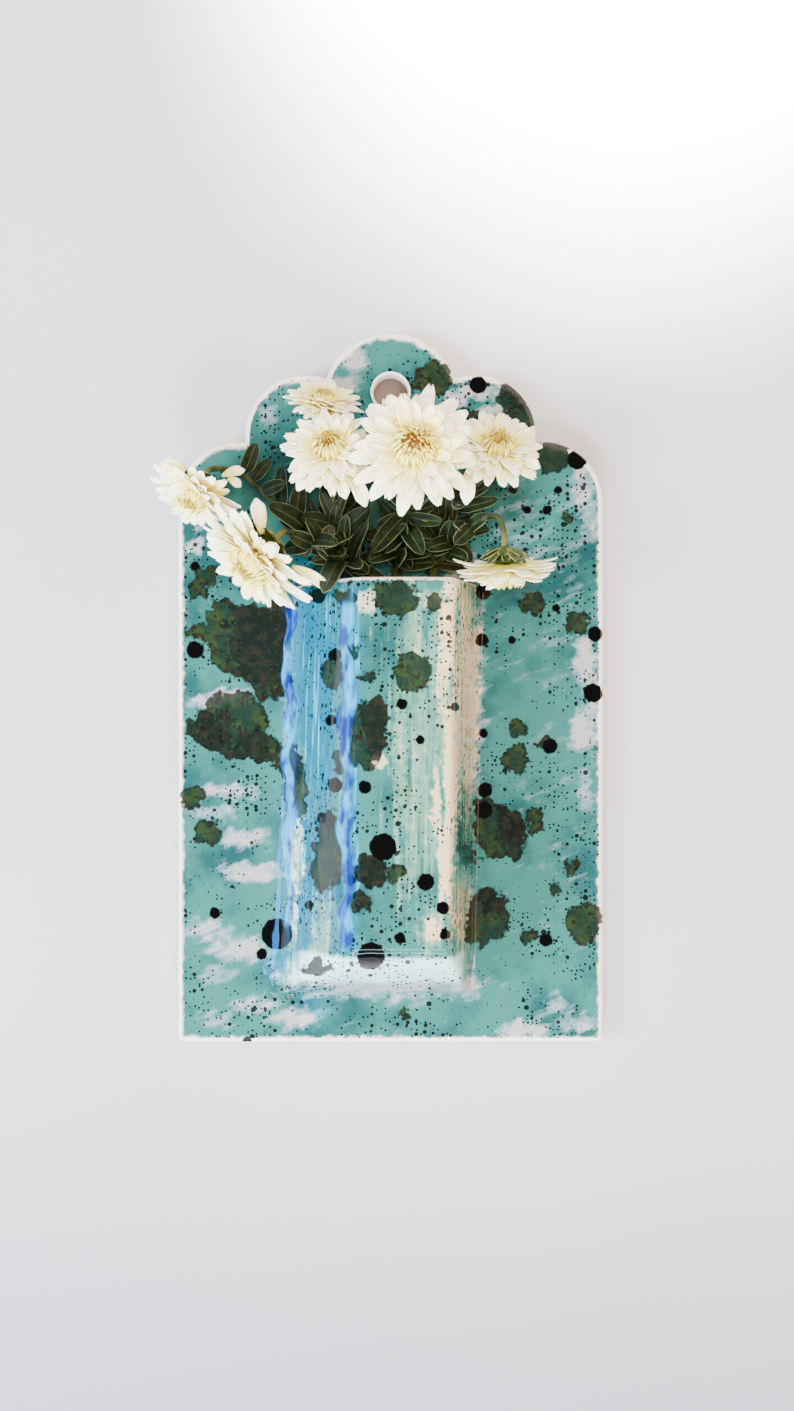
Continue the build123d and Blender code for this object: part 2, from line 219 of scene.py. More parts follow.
def addStep(tree, field, low=0, high=1, most=1):
    # 0 to most as a field climbs from low to high, or falls where low is above high: smooth, but straight
    # from 0 to 1, so that the field itself comes through
    inputs = {"Value": field, "From Min": low, "From Max": high, "To Max": most}
    return addNode(tree, "MapRange", inputs, interpolation_type="LINEAR" if (low, high) == (0, 1) else "SMOOTHSTEP")


def workOut(tree, fields, recipes):
    # New fields from those there: (field, low, high, most) is a step; (start, {field: weight}) is a sum,
    # where a weight may be a field too; (function, field) is a function of one
    for name, recipe in recipes.items():
        if recipe[0] in fields:
            fields[name] = addStep(tree, fields[recipe[0]], *recipe[1:])
        elif isinstance(recipe[0], str):
            fields[name] = addNode(tree, "Math", {0: fields[recipe[1]]}, operation=recipe[0])
        else:
            fields[name], weights = recipe
            for field, weight in weights.items():
                inputs = {0: fields[field], 1: fields.get(weight, weight), 2: fields[name]}
                fields[name] = addNode(tree, "Math", inputs, operation="MULTIPLY_ADD")


def addCoats(tree, fields, tones, colour, coats):
    # Coat over coat: (tone, field, low, high, most) covers what is under it by that step of the field
    colour = tones.get(colour, colour)
    for tone, field, *limits in coats:
        cover = addStep(tree, fields[field], *limits)
        colour = addNode(tree, "Mix", {0: cover, 6: colour, 7: tones.get(tone, tone)}, 2, data_type="RGBA")
    return colour


def dressShader(tree, shader, colour, relief=None, strength=0, height=0):
    tree.links.new(colour, shader.inputs["Base Color"])
    if relief is not None:
        bump = addNode(tree, "Bump", {"Height": relief, "Strength": strength, "Distance": height})
        tree.links.new(bump, shader.inputs["Normal"])


# What the brush left on the vase, read from the photograph: centre and half sizes in its pixels.
# Each is drawn on whatever surface shows there, so the marks run over ridges and cove as the real ones do.
# Among them are a painted reflection and painted highlights, each marked where it is listed.
glazeMarks = {
    "blotches": [
        (248, 642, 40, 38), (224, 622, 18, 22), (268, 668, 22, 34), (280, 620, 14, 22), (233, 725, 38, 33),
        (262, 748, 20, 14),
        (200, 728, 14, 12), (365, 735, 20, 35), (375, 712, 14, 14), (352, 752, 16, 18), (413, 672, 20, 20),
        (398, 600, 22, 18), (385, 596, 12, 14), (330, 850, 16, 40), (322, 872, 12, 18), (295, 790, 12, 32),
        (288, 762, 14, 16), (370, 872, 17, 16), (358, 902, 12, 10), (500, 832, 27, 26), (486, 812, 12, 16),
        (512, 850, 12, 10), (488, 916, 21, 28), (478, 935, 12, 12), (584, 922, 18, 22), (432, 380, 21, 19),
        (512, 397, 16, 15), (520, 420, 18, 14), (552, 455, 18, 20), (533, 603, 13, 11), (577, 622, 12, 12),
        (518, 727, 10, 9), (515, 760, 14, 14), (535, 820, 9, 14), (193, 797, 13, 12), (208, 833, 14, 13),
        (207, 575, 12, 10), (197, 592, 10, 9), (203, 632, 16, 10), (405, 1014, 6, 6), (468, 857, 10, 9),
        (567, 517, 7, 6), (571, 868, 8, 8), (466, 418, 18, 8), (345, 598, 14, 8), (318, 968, 14, 8),
        (530, 937, 8, 8), (545, 742, 9, 7), (556, 888, 7, 6), (435, 604, 9, 11), (369, 677, 8, 8), (333, 675, 11, 15),
        (395, 872, 9, 9), (352, 655, 7, 9), (340, 760, 8, 12),
    ],
    "dots": [
        (371, 956, 13), (383, 847, 13), (426, 882, 8), (277, 934, 15), (262, 954, 5), (593, 693, 9), (577, 460, 9),
        (595, 634, 7), (482, 640, 6), (550, 746, 7), (443, 908, 6), (445, 934, 5), (400, 938, 5), (402, 704, 5),
        (455, 707, 4), (483, 733, 4), (318, 596, 7), (215, 913, 5), (247, 1041, 4), (195, 650, 8), (335, 655, 6),
        (335, 785, 7), (365, 787, 6), (485, 790, 7), (484, 810, 8), (478, 385, 8), (546, 940, 6), (483, 592, 7),
        (513, 489, 4), (547, 510, 4), (527, 510, 3.5), (558, 490, 3.5), (195, 566, 4), (512, 640, 3.5),
        (556, 608, 3.5), (420, 740, 4), (331, 720, 5), (322, 818, 5), (350, 880, 5), (309, 905, 4),
    ],
    # The next ones also have a strength. Where iron burnt nearly black:
    "char": [
        (262, 640, 30, 46, 1), (212, 735, 20, 26, 0.8), (250, 745, 20, 16, 0.8), (375, 722, 14, 34, 1),
        (368, 880, 16, 30, 0.9), (335, 812, 12, 16, 0.8), (512, 828, 14, 24, 0.9), (492, 900, 14, 14, 1),
        (470, 860, 12, 10, 0.5), (520, 400, 14, 16, 0.5), (290, 770, 10, 16, 0.7), (455, 418, 12, 8, 0.8),
    ],
    # Painted reflection of the pale blue window, down the left flank and ridge and at the left foot
    "sky": [
        (318, 700, 26, 150, 1), (312, 880, 24, 110, 1), (300, 800, 14, 130, 0.9), (352, 700, 9, 130, 0.8),
        (352, 880, 9, 80, 0.7), (290, 965, 26, 16, 0.8),
    ],
    # Thin, pale glaze, and a painted highlight along the sloping underside
    "pale": [
        (195, 548, 10, 8, 1), (200, 522, 8, 9, 0.7), (228, 696, 24, 8, 0.8), (205, 702, 16, 8, 0.9),
        (228, 790, 32, 9, 0.8), (215, 812, 30, 8, 0.6), (245, 838, 26, 12, 0.7), (250, 872, 30, 9, 0.8),
        (205, 930, 26, 10, 0.7), (240, 950, 30, 14, 0.8), (215, 975, 20, 10, 0.6), (290, 1018, 24, 10, 0.8),
        (255, 1005, 28, 12, 0.6), (215, 1020, 24, 8, 0.5), (356, 362, 12, 12, 0.9), (342, 384, 18, 9, 0.8),
        (300, 398, 20, 8, 0.6), (455, 400, 12, 8, 0.9), (478, 392, 22, 7, 0.9), (492, 412, 16, 8, 0.9),
        (582, 480, 12, 30, 0.7), (590, 520, 8, 20, 0.6), (584, 660, 10, 30, 0.8), (580, 730, 10, 26, 0.9),
        (592, 700, 7, 60, 0.7), (585, 790, 8, 24, 0.6), (525, 1030, 26, 9, 0.9), (575, 1024, 24, 9, 0.6),
        (558, 1002, 12, 10, 0.5), (378, 762, 8, 7, 1), (366, 602, 9, 12, 0.9), (268, 412, 10, 14, 0.6),
        (448, 640, 9, 60, 0.95), (452, 760, 8, 90, 1), (441, 690, 7, 50, 0.7), (446, 860, 8, 60, 0.9),
        (436, 800, 5, 50, 0.8), (432, 930, 14, 22, 0.8), (468, 690, 14, 130, 0.85), (425, 700, 34, 120, 0.45),
        (452, 590, 9, 24, 0.9), (456, 920, 6, 30, 0.8), (555, 720, 50, 260, 0.14), (540, 530, 60, 70, 0.2),
        (415, 840, 26, 90, 0.4), (400, 750, 10, 60, 0.5), (432, 600, 16, 10, 0.7), (405, 820, 6, 60, 0.5),
        # The last three marks on the next line lie on the sloping underside: a painted highlight
        (462, 915, 16, 50, 0.6), (385, 986, 88, 14, 0.72), (300, 975, 24, 16, 0.7), (462, 985, 18, 14, 0.8),
        (292, 880, 6, 70, 0.8), (300, 820, 4, 80, 0.7), (286, 760, 4, 60, 0.6), (322, 930, 10, 50, 0.5),
    ],
}

# How the marks are drawn, in pixels
brush = {
    "sway": (2.6, 38),           # how far outlines waver, and the length of the waves, coarse and fine
    "fray": (1.3, 12),
    "dotFray": (0.5, 12),
    "fade": (1.65, 0.3),         # a soft mark fades between these distances from its middle, in half sizes
    "unmarked": -60.0,
    # Two painted highlight strips, the reflection of the bluish window, down the left ridge and the left foot:
    # middle, half width, first and last level
    "runs": ((347, 6, 598, 955), (289, 4.5, 604, 930)),
    "stripWaver": ((2.5, 15), (1.5, 6.1)),       # how far its middle wavers, and the waves' length for one radian
    "stripSwell": ((0.28, 19), (0.16, 8)),       # the same for its half width, as a share of it
    "stripSides": (1.2, 0.8),                    # it fades between these, in half widths
    "stripEnds": (10, 14),
    # Where the slip under the glaze is cream: from and to, rightwards, leftwards, downwards and upwards
    "cream": ((330, 420), (500, 470), (560, 580), (990, 950)),
}


def nearestMark(across, down, marks):
    # How far a place lies inside the nearest mark, in pixels: half size x (1 - distance in half sizes)
    inside = np.full(across.shape, brush["unmarked"])
    for x, y, wide, *rest in marks:
        high = rest[0] if rest else wide
        distance = np.hypot((across - x) / wide, (down - y) / high)
        inside = np.maximum(inside, math.sqrt(wide * high) * (1 - distance))
    return inside


def softMarks(across, down, marks):
    # Strength of the strongest soft-edged mark at a place
    total = np.zeros(across.shape)
    for x, y, wide, high, strength in marks:
        distance = np.hypot((across - x) / wide, (down - y) / high)
        total = np.maximum(total, strength * smoothStep(*brush["fade"], distance))
    return total


def paintedHighlightStrips(across, down):
    # A painted highlight strip: a band whose middle and half width waver down its length as sums of two sines, soft
    # at its sides and ends
    total = np.zeros(across.shape)
    for middle, half, first, last in brush["runs"]:
        (slow, slowLength), (quick, quickLength) = brush["stripWaver"]
        centre = middle + slow * np.sin(down / slowLength + half) + quick * np.sin(down / quickLength)
        (slow, slowLength), (quick, quickLength) = brush["stripSwell"]
        width = half * (1 + slow * np.sin(down / slowLength + 2) + quick * np.sin(down / quickLength))
        band = smoothStep(*brush["stripSides"], np.abs(across - centre) / width)
        start, end = brush["stripEnds"]
        total = np.maximum(total, band * smoothStep(first, first + start, down) * smoothStep(last, last - end, down))
    return total


def glazeFields(points):
    # The marks as fields on a surface, their outlines made uneven by ripples
    across, down = toPhoto(points)

    def waver(name, seed):
        reach, size = brush[name]
        return reach * ripple(across, down, size, seed)

    bent = across + waver("sway", 1) + waver("fray", 2), down + waver("sway", 3) + waver("fray", 4)
    fields = {name: softMarks(*bent, glazeMarks[name]) for name in ("pale", "char", "sky")}
    fields["blotch"] = nearestMark(*bent, glazeMarks["blotches"])
    fields["dot"] = nearestMark(across + waver("dotFray", 5), down + waver("dotFray", 6), glazeMarks["dots"])
    # The painted highlight strips: a painted reflection of the window on the left ridge and foot
    fields["run"] = paintedHighlightStrips(across, down)
    right, left, below, above = brush["cream"]
    fields["warm"] = (smoothStep(*right, across) * smoothStep(*left, across)
                      * smoothStep(*below, down) * smoothStep(*above, down))
    return fields


# Glazed stoneware: a brushed, reactive copper-turquoise glaze over a pinkish white slip, fired glossy.
# To the eye: deep glassy turquoise that breaks to bare slip on edges and brush marks, with iron blotches
# that are olive inside and burnt at the rim, and black specks of all sizes.
glaze = {
    "surface": {"IOR": 1.48, "Specular IOR Level": 0.3},
    "colours": {
        "turquoise": "#2a605b",
        "deepTurquoise": "#153e40",
        "mint": "#5d8977",
        "paleBlue": "#5d7b81",
        # Painted sky reflection on the left flank: its deep blue and its paler streaks
        "reflectedSkyBlue": "#005c76",
        "reflectedSkyPale": "#2fb2cc",
        # Colours of the painted highlight strips: pale blue, and a deeper purple-blue in patches
        "stripReflectionPale": "#1f86b4",
        "stripReflectionDeep": "#071f6c",
        "slip": "#979495",
        # White of the painted highlight on the sloping underside and in the painted sky reflection
        "paintedHighlightWhite": "#b4d8d8",
        "creamSlip": "#cdb48e",
        "pinkSlip": "#dbd2cc",
        "olive": "#1e2a10",
        "moss": "#0e1d15",
        "burnt": "#080503",
        "rust": "#180f08",
        "black": "#020202",
        "paleClay": "#e6d6ca",
        "darkClay": "#d8c3b3",
    },
    # Among these attributes: the painted highlight strips and the painted sky reflection
    "attributes": ("onPocket", "unrolled", "level", "pale", "char", "sky", "blotch", "dot", "run", "warm", "slope",
                   "edge", "bare"),
    "patterns": {
        "cloud": (16 * mm, 4),               # pools of thicker glaze
        "wideStroke": (1.9 * mm, 4, (5, 5, 1.1), 24),      # brush strokes across the plaque
        "tallStroke": (1.9 * mm, 3, (0.8, 0.8, 14)),    # and down the pocket
        "fine": (2.2 * mm, 4),
        "heat": (14 * mm, 2),                # specks gather where it is high
        "crumbs": (1.1 * mm, 4),
        "lumps": (3.6 * mm, 4),
        "milk": (5 * mm, 2, (1, 1, 1.8)),
        "wave": (5 * mm, 1, (1, 1, 2)),                 # the glassy skin pools unevenly, so reflections waver
    },
    "recipes": {
        # The painted sky reflection, laid in brush strokes, with paler streaks
        "reflectionStrokeMask": ("stroke", 0.2, 0.46),
        "wash": (0, {"sky": "reflectionStrokeMask"}),
        "reflectionStreakMask": ("stroke", 0.56, 0.72),
        "streak": (0, {"wash": "reflectionStreakMask"}),
        "thin": (-1, {"pale": 1, "stroke": 1.25, "cloud": 0.3, "fine": 0.45}),
        # Painted highlight on the sloping underside, broken by strokes and pools
        "wet": (0, {"slope": 1, "stroke": 0.5, "cloud": 0.4}),
        "worn": (0, {"edge": 1, "fine": 0.5}),
        "iron": (-3.3, {"blotch": 1, "lumps": 3.4, "crumbs": 4}),
        "rim": ("iron", 6.5, 0.5, 0.13),
        "burn": (0, {"rim": 1, "char": 0.3, "crumbs": 0.9, "lumps": 0.4}),
        "drop": (0, {"dot": 1, "crumbs": 1.2}),
        "unglazed": (0, {"bare": 1, "fine": 0.3}),
        "dryCrust": ("iron", -0.5, 2, 0.1),                # iron crusts are drier and rougher
        "roughness": (0.07, {"bare": 0.6, "dryCrust": 1}),
        "relief": (0, {"wave": 1, "stroke": 0.015}),
        "unworn": ("worn", 1.1, 0.8),
        "speckCover": (-0.05, {"unworn": 1}),
        "specks": (0, {"discs": "speckCover"}),
    },
    # Tones that are mixed themselves: the first colour, and the coats over it
    "tones": {
        "thinGlaze": ("paleBlue", (("mint", "onPocket"),)),
        # Where the painted sky reflection lies, the bare slip takes the painted highlight's white
        "bareSlip": ("slip", (("creamSlip", "warm"), ("paintedHighlightWhite", "sky"))),
        "crust": ("burnt", (("rust", "fine", 0.45, 0.65),)),
        "ironPool": ("moss", (("olive", "lumps", 0.4, 0.62), ("crust", "burn", 0.66, 0.8, 0.93))),
        # Painted highlight strips: pale blue, deeper in patches
        "stripReflection": ("stripReflectionPale", (("stripReflectionDeep", "milk", 0.42, 0.6),)),
        "clay": ("paleClay", (("darkClay", "fine", 0.35, 0.7),)),
    },
    "coats": (
        ("deepTurquoise", "cloud", 0.39, 0.67),
        # Painted reflection of the bluish window on the left flank, with paler streaks
        ("reflectedSkyBlue", "wash"),
        ("reflectedSkyPale", "streak"),
        ("thinGlaze", "thin", 0.16, 0.5, 0.85),    # thin places turn mint or pale blue first,
        ("bareSlip", "thin", 0.48, 0.76, 0.82),    # then the slip shows through in streaks
        ("paintedHighlightWhite", "wet", 0.8, 1.5),             # painted highlight: the sloping underside is painted white
        ("pinkSlip", "worn", 0.66, 0.95),
        ("burnt", "specks"),
        ("ironPool", "iron", -1.2, 1.8, 0.96),     # blotches: olive and moss inside a burnt rim
        ("burnt", "drop", -0.9, 0.6),              # single black drops
        ("black", "drop", 0.6, 1.4),
        ("stripReflection", "run", 0, 1, 0.85),               # the painted highlight strips lie over all of it
        ("clay", "unglazed", 0.6, 0.75),           # the back and the plaque's sides are bare
    ),
    # Specks in three sizes: the cell, the largest radius in cells, and the luck that a speck needs
    "speckSizes": ((1.25 * mm, 0.28, 0.55), (2.5 * mm, 0.25, 0.6), (5.5 * mm, 0.16, 0.66)),
    "speckHeat": 1.6,              # what the heat counts in a speck's luck
    "speckGrowth": 0.4,            # the luck over which it grows to its full radius
    "speckEdge": 0.04,             # the softness of its edge, in cells
    "bump": (0.3, 0.9 * mm),       # strength and height
}


def speckDiscs(tree, fields):
    # Discs about the centres of cells, each cell with its own radius, by luck and heat
    unrolled = addNode(tree, "CombineXYZ", {0: fields["unrolled"], 1: fields["level"]})
    discs = 0
    for cell, most, chance in glaze["speckSizes"]:
        cells = addNode(tree, "TexVoronoi", {"Vector": unrolled, "Scale": 1 / cell}, "Distance",
                        feature="F1", voronoi_dimensions="2D")
        one = {"distance": cells, "heat": fields["heat"],
               "random": addNode(tree, "SeparateColor", {0: cells.node.outputs["Color"]})}
        workOut(tree, one, {
            "luck": (-glaze["speckHeat"] / 2, {"random": 1, "heat": glaze["speckHeat"]}),
            "radius": ("luck", chance, chance + glaze["speckGrowth"], most),
            "margin": (0, {"radius": 1, "distance": -1}),
            "disc": ("margin", 0, glaze["speckEdge"]),
        })
        discs = addNode(tree, "Math", {0: discs, 1: one["disc"]}, operation="MAXIMUM")
    return discs


def glazeMaterial():
    material, tree, shader = newMaterial("glossyReactiveGlaze", glaze)
    fields = readFields(tree, glaze)
    strokes = {0: fields["onPocket"], 2: fields["wideStroke"], 3: fields["tallStroke"]}
    fields["stroke"] = addNode(tree, "Mix", strokes, data_type="FLOAT")
    fields["discs"] = speckDiscs(tree, fields)
    workOut(tree, fields, glaze["recipes"])
    tones = dict(glaze["colours"])
    for name, (first, coats) in glaze["tones"].items():
        tones[name] = addCoats(tree, fields, tones, first, coats)
    colour = addCoats(tree, fields, tones, "turquoise", glaze["coats"])
    dressShader(tree, shader, colour, fields["relief"], *glaze["bump"])
    tree.links.new(fields["roughness"], shader.inputs["Roughness"])
    return material


glazeFinish = glazeMaterial()
print("glaze mixed")


# Back plaque: columns from a scalloped top edge down to a straight foot, opened round the hanging hole

plaque = {
    "edgeRound": 1.3 * mm,
    # The crown and the two lobes on each side: across, height and radius
    "lobes": ((0, -2.52 * mm, 19.32 * mm), (24 * mm, -12 * mm, 17.04 * mm), (42.96 * mm, -30.96 * mm, 17.04 * mm)),
    "cuspSoftness": 1.1 * mm,
    "cornerRound": 2.2 * mm,
    "holeRadius": 4.9 * mm,
    "holeRound": 0.8 * mm,
    "holeSpread": 2.1,             # how far round the hole the grid gives way, in its radii
    "columns": 250,
    "rows": 330,
    "turns": 5,                    # rows of faces over each rounded edge
    "backRound": (0.35 * mm, 0.2 * mm),     # at the back: the outer edge's bevel, and the hole's last ring
    "rimFade": 2.4 * mm,           # how fast the glaze thickens away from the edge, and from the hole
    "holeFade": 0.9 * mm,
    "bareFrom": ((0.55, 0.9), (0.2, 0.7)),      # shares of the thickness where the edge, and the hole, turn bare
    "wear": (2 * mm, 1.0, 0.85),   # up to this far back the edge is fully worn, and then a little less
}


def scallopedTop(inset):
    # The top edge as the highest lobe at each x, with points at equal distances and softened where lobes meet
    half = plaqueHigh.x - inset
    across = half * np.sin(np.linspace(-np.pi / 2, np.pi / 2, 6001))
    height = np.full(across.shape, -1.0)
    for x, z, radius in plaque["lobes"]:
        under = (radius - inset) ** 2 - (np.abs(across) - x) ** 2
        height = np.maximum(height, np.where(under >= 0, z + np.sqrt(np.maximum(under, 0)), -1.0))
    travelled = np.concatenate([[0], np.cumsum(np.hypot(np.diff(across), np.diff(height)))])
    even = np.linspace(0, travelled[-1], 3001)
    reach = int(3 * plaque["cuspSoftness"] / even[1])
    weights = np.exp(-0.5 * (np.arange(-reach, reach + 1) * even[1] / plaque["cuspSoftness"]) ** 2)
    weights /= weights.sum()
    ends = smoothStep(0, 6 * mm, np.minimum(even, even[-1] - even))
    pick = np.linspace(0, even[-1], plaque["columns"])
    softened = []
    for line in (across, height):
        line = np.interp(even, travelled, line)
        line = line + ends * (np.convolve(np.pad(line, reach, "edge"), weights, "valid") - line)
        softened.append(np.interp(pick, even, line))
    return softened


def openHole(across, height, radius):
    # Grid points near the hole move outward, from a block of cells onto the hole's circle
    column = int(np.argmin(np.abs(across[0])))
    row = int(np.argmin(np.abs(height[:, column])))
    wide = int(round(radius / abs(across[0, column + 1] - across[0, column])))
    high = int(round(radius / abs(height[row + 1, column] - height[row, column])))
    columns = np.abs(np.arange(across.shape[1]) - column)[None, :] / wide
    rows = np.abs(np.arange(across.shape[0]) - row)[:, None] / high
    ring = np.maximum(columns, rows)
    pull = np.where(ring < plaque["holeSpread"], 1 - ramp(1, plaque["holeSpread"], ring), 0)
    reach = np.maximum(np.hypot(across, height), 1e-6)
    across, height = (line + pull * (radius * line / reach - line) for line in (across, height))
    return across, height, (row - high, row + high, column - wide, column + wide)


def loopAround(bottom, top, left, right, columns):
    # Point numbers of a block's border in a grid, counter-clockwise seen from the front
    along, up = np.arange(left, right), np.arange(bottom, top)
    return np.concatenate([bottom * columns + along, up * columns + right,
                           top * columns + along[::-1] + 1, (up[::-1] + 1) * columns + left])


def edgeRings(loop, front, rings, side, total, bareFrom):
    # Rings round a border, each moved out (side 1) or in (side -1) along the border's normals, and back:
    # their points, the quads between them, how bare each is, and how worn
    start = front[loop][:, [0, 2]]
    step = np.roll(start, -1, axis=0) - np.roll(start, 1, axis=0)
    normal = side * unit(np.stack([step[:, 1], -step[:, 0]], axis=1))
    points, quads, bareness, wear = [], [], [], []
    nearEdge, nearWear, farWear = plaque["wear"]
    for beyond, behind in rings:
        ring = start + beyond * normal
        points.append(stackPoints(ring[:, 0], frontY + behind, ring[:, 1]))
        current = total + np.arange(len(loop))
        total += len(loop)
        strip = np.stack([loop, current, np.roll(current, -1), np.roll(loop, -1)], axis=1)
        quads.append(strip if side == 1 else strip[:, ::-1])
        bareness.append(np.full(len(loop), smoothStep(*bareFrom, behind / -frontY)))
        wear.append(np.full(len(loop), nearWear if behind < nearEdge else farWear))
        loop = current
    return points, quads, bareness, wear, total


def makePlaque():
    inset, columns, rows = plaque["edgeRound"], plaque["columns"], plaque["rows"]
    topAcross, topHeight = scallopedTop(inset)
    corner = plaque["cornerRound"] - inset
    past = np.clip(np.abs(topAcross) - (plaqueHigh.x - plaque["cornerRound"]), 0, corner)
    foot = plaqueLow.z + inset + corner - np.sqrt(corner ** 2 - past ** 2)
    across = np.repeat(topAcross[None, :], rows, axis=0)
    height = foot[None, :] + np.linspace(0, 1, rows)[:, None] * (topHeight - foot)[None, :]
    across, height, block = openHole(across, height, plaque["holeRadius"] + plaque["holeRound"])
    low, high, left, right = block
    front = stackPoints(across, frontY, height).reshape(-1, 3)
    cell = np.arange((rows - 1) * (columns - 1)).reshape(rows - 1, columns - 1)
    quads = [np.delete(gridFaces(1, rows, columns), cell[low:high, left:right].ravel(), axis=0)]

    # Rings as (distance beyond the border, depth behind the front): a rounded edge, then straight back
    def roundedRings(radius, *last):
        turns = np.linspace(0, np.pi / 2, plaque["turns"] + 1)[1:]
        return [(radius * np.sin(turn), radius * (1 - np.cos(turn))) for turn in turns] + list(last)

    bevel, holeBack = plaque["backRound"]
    roundness = plaque["holeRound"]
    outer = roundedRings(inset, (inset, -frontY - bevel), (inset - bevel, -frontY))
    hole = roundedRings(roundness, (roundness, -frontY - holeBack), (roundness, -frontY))
    points, bareness, wear = [front], [np.zeros(len(front))], [np.zeros(len(front))]
    total = len(front)
    outline = (0, rows - 1, 0, columns - 1)
    for border, rings, side, bareFrom in zip((outline, block), (outer, hole), (1, -1), plaque["bareFrom"]):
        loop = loopAround(*border, columns)
        morePoints, moreQuads, moreBare, moreWear, total = edgeRings(loop, front, rings, side, total, bareFrom)
        points += morePoints
        quads += moreQuads
        bareness += moreBare
        wear += moreWear
    points = np.concatenate(points)

    # Glaze runs thin towards the rim: e to the minus distance from the outline, over how fast it fades
    edge = np.concatenate(wear)
    distance = np.minimum(plaqueHigh.x - np.abs(across), height - plaqueLow.z)
    distance = np.minimum(distance, (topHeight[None, :] + inset - height) * 0.8)
    holeDistance = np.maximum(np.hypot(across, height) - plaque["holeRadius"], 0)
    nearEdge = np.exp(-distance / plaque["rimFade"]) + 0.8 * np.exp(-holeDistance / plaque["holeFade"])
    edge[:rows * columns] = np.clip(nearEdge, 0, 1).ravel()
    fields = glazeFields(points)
    fields.update({"unrolled": points[:, 0], "level": points[:, 2], "edge": edge,
                   "bare": np.concatenate(bareness), "onPocket": np.zeros(len(points))})
    piece = buildMesh("plaqueGlaze", points, np.concatenate(quads), fields)

    # The flat back is filled between its two borders
    shell = bmesh.new()
    shell.from_mesh(piece.data)
    shell.edges.ensure_lookup_table()
    border = [edge for edge in shell.edges if edge.is_boundary]
    filled = bmesh.ops.triangle_fill(shell, edges=border, use_beauty=True, use_dissolve=False)
    for item in filled["geom"]:
        if isinstance(item, bmesh.types.BMFace):
            item.smooth = False
    bmesh.ops.recalc_face_normals(shell, faces=shell.faces)
    shell.to_mesh(piece.data)
    shell.free()
    piece.data.materials.append(glazeFinish)
    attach(piece, "vase")
    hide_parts("back_plaque")
    return piece


plaquePiece = makePlaque()
print("plaque made:", len(plaquePiece.data.polygons), "faces")


# Pocket: one skin from the cove on the plaque over flanks, ridges and heel, round the lip and down inside

pocket = {
    "mouth": -54.3 * mm,
    "base": -170 * mm,
    "depth": 27 * mm,
    "wall": 4 * mm,
    "proud": 0.06 * mm,            # over the plaque, so that the two skins never fight
    "footLeft": (-26.1 * mm, -33.9 * mm),      # at the mouth, at the base
    "footRight": (24.9 * mm, 22.4 * mm),
    "ridgeLeft": (-10.6 * mm, -12.5 * mm),
    "ridgeRight": (17.8 * mm, 16.2 * mm),
    "rise": 14 * mm,               # of the sloping underside, over the pocket's depth
    "bulge": 0.8 * mm,
    "ridgeSoftness": 6 * mm,
    "heelSoftness": 7 * mm,
    "coveSoftness": 6.5 * mm,
    "toe": 8 * mm,
    "lipRound": 1.7 * mm,
    "lipStands": 3 * mm,           # out from the plaque, where the lip has its full height and wall
    "lipSink": 1.2 * mm,           # how much lower it is where it joins the plaque
    # how far the skin stands out under the painted highlight strips
    "stripRelief": 0.4 * mm,
    "columns": 190,
    "rows": 250,
    "lipTurns": 6,
    "innerRows": 40,
    "innerFoot": 20 * mm,          # over the base, where the inner wall's rows end
    "floorShares": (0.99, 0.7, 0.4, 0.05),     # the floor's rings, as shares of the last row
    "rimRows": (3, 3.5),           # the bare lip: its middle row after the outer skin, and its fade in rows
    "slopeOut": (0.5 * mm, 17 * mm),
    "slopeLevel": (-153 * mm, -157 * mm),
}


def betweenLevels(name, height):
    share = (pocket["mouth"] - height) / (pocket["mouth"] - pocket["base"])
    atMouth, atBase = pocket[name]
    return atMouth + (atBase - atMouth) * share


def drapedDepth(across, height):
    # How far the clay stands out from the plaque: the least of the front, both flanks and the underside
    base, full = pocket["base"], pocket["depth"]
    footLeft, footRight, ridgeLeft, ridgeRight = (
        betweenLevels(name, height) for name in ("footLeft", "footRight", "ridgeLeft", "ridgeRight"))
    fromMiddle = (across - (ridgeLeft + ridgeRight) / 2) / ((ridgeRight - ridgeLeft) / 2)
    front = np.maximum(full + pocket["bulge"] * (1 - fromMiddle ** 2), full - 2 * mm)
    leftFlank = full * (across - footLeft) / (ridgeLeft - footLeft)
    rightFlank = full * (footRight - across) / (footRight - ridgeRight)
    under = (height - base) * full / pocket["rise"]
    depth = softMin(softMin(front, leftFlank, pocket["ridgeSoftness"]), rightFlank, pocket["ridgeSoftness"])
    depth = softMin(depth, under, pocket["heelSoftness"])
    cove = pocket["coveSoftness"] * (0.35 + 0.65 * smoothStep(base + 2 * mm, base + 14 * mm, height))
    return -softMin(-depth, np.zeros(depth.shape), cove)


def pocketLevel(height):
    # Points of the outer skin at each height, from the left toe to the right one
    share = np.linspace(0, 1, pocket["columns"])[None, :]
    left = betweenLevels("footLeft", height) - pocket["toe"]
    right = betweenLevels("footRight", height) + pocket["toe"]
    across = left + (right - left) * share
    return across, drapedDepth(across, height)


def insetRow(level, offset, at):
    # A row moved in from the outer skin, along the normals of the section at that level; near the feet
    # it ends in the plaque, and there the lip is low
    x, out = (line[0] for line in pocketLevel(np.array([[level]])))
    alongX, alongOut = np.gradient(x), np.gradient(out)
    length = np.hypot(alongX, alongOut)
    inward = offset * smoothStep(0, pocket["lipStands"], out)
    newOut = np.maximum(out - alongX / length * inward, -0.3 * mm)
    sink = (1 - smoothStep(0.2 * mm, pocket["lipStands"], out)) * pocket["lipSink"]
    return stackPoints(x + alongOut / length * inward, frontY + pocket["proud"] - newOut, at - sink)


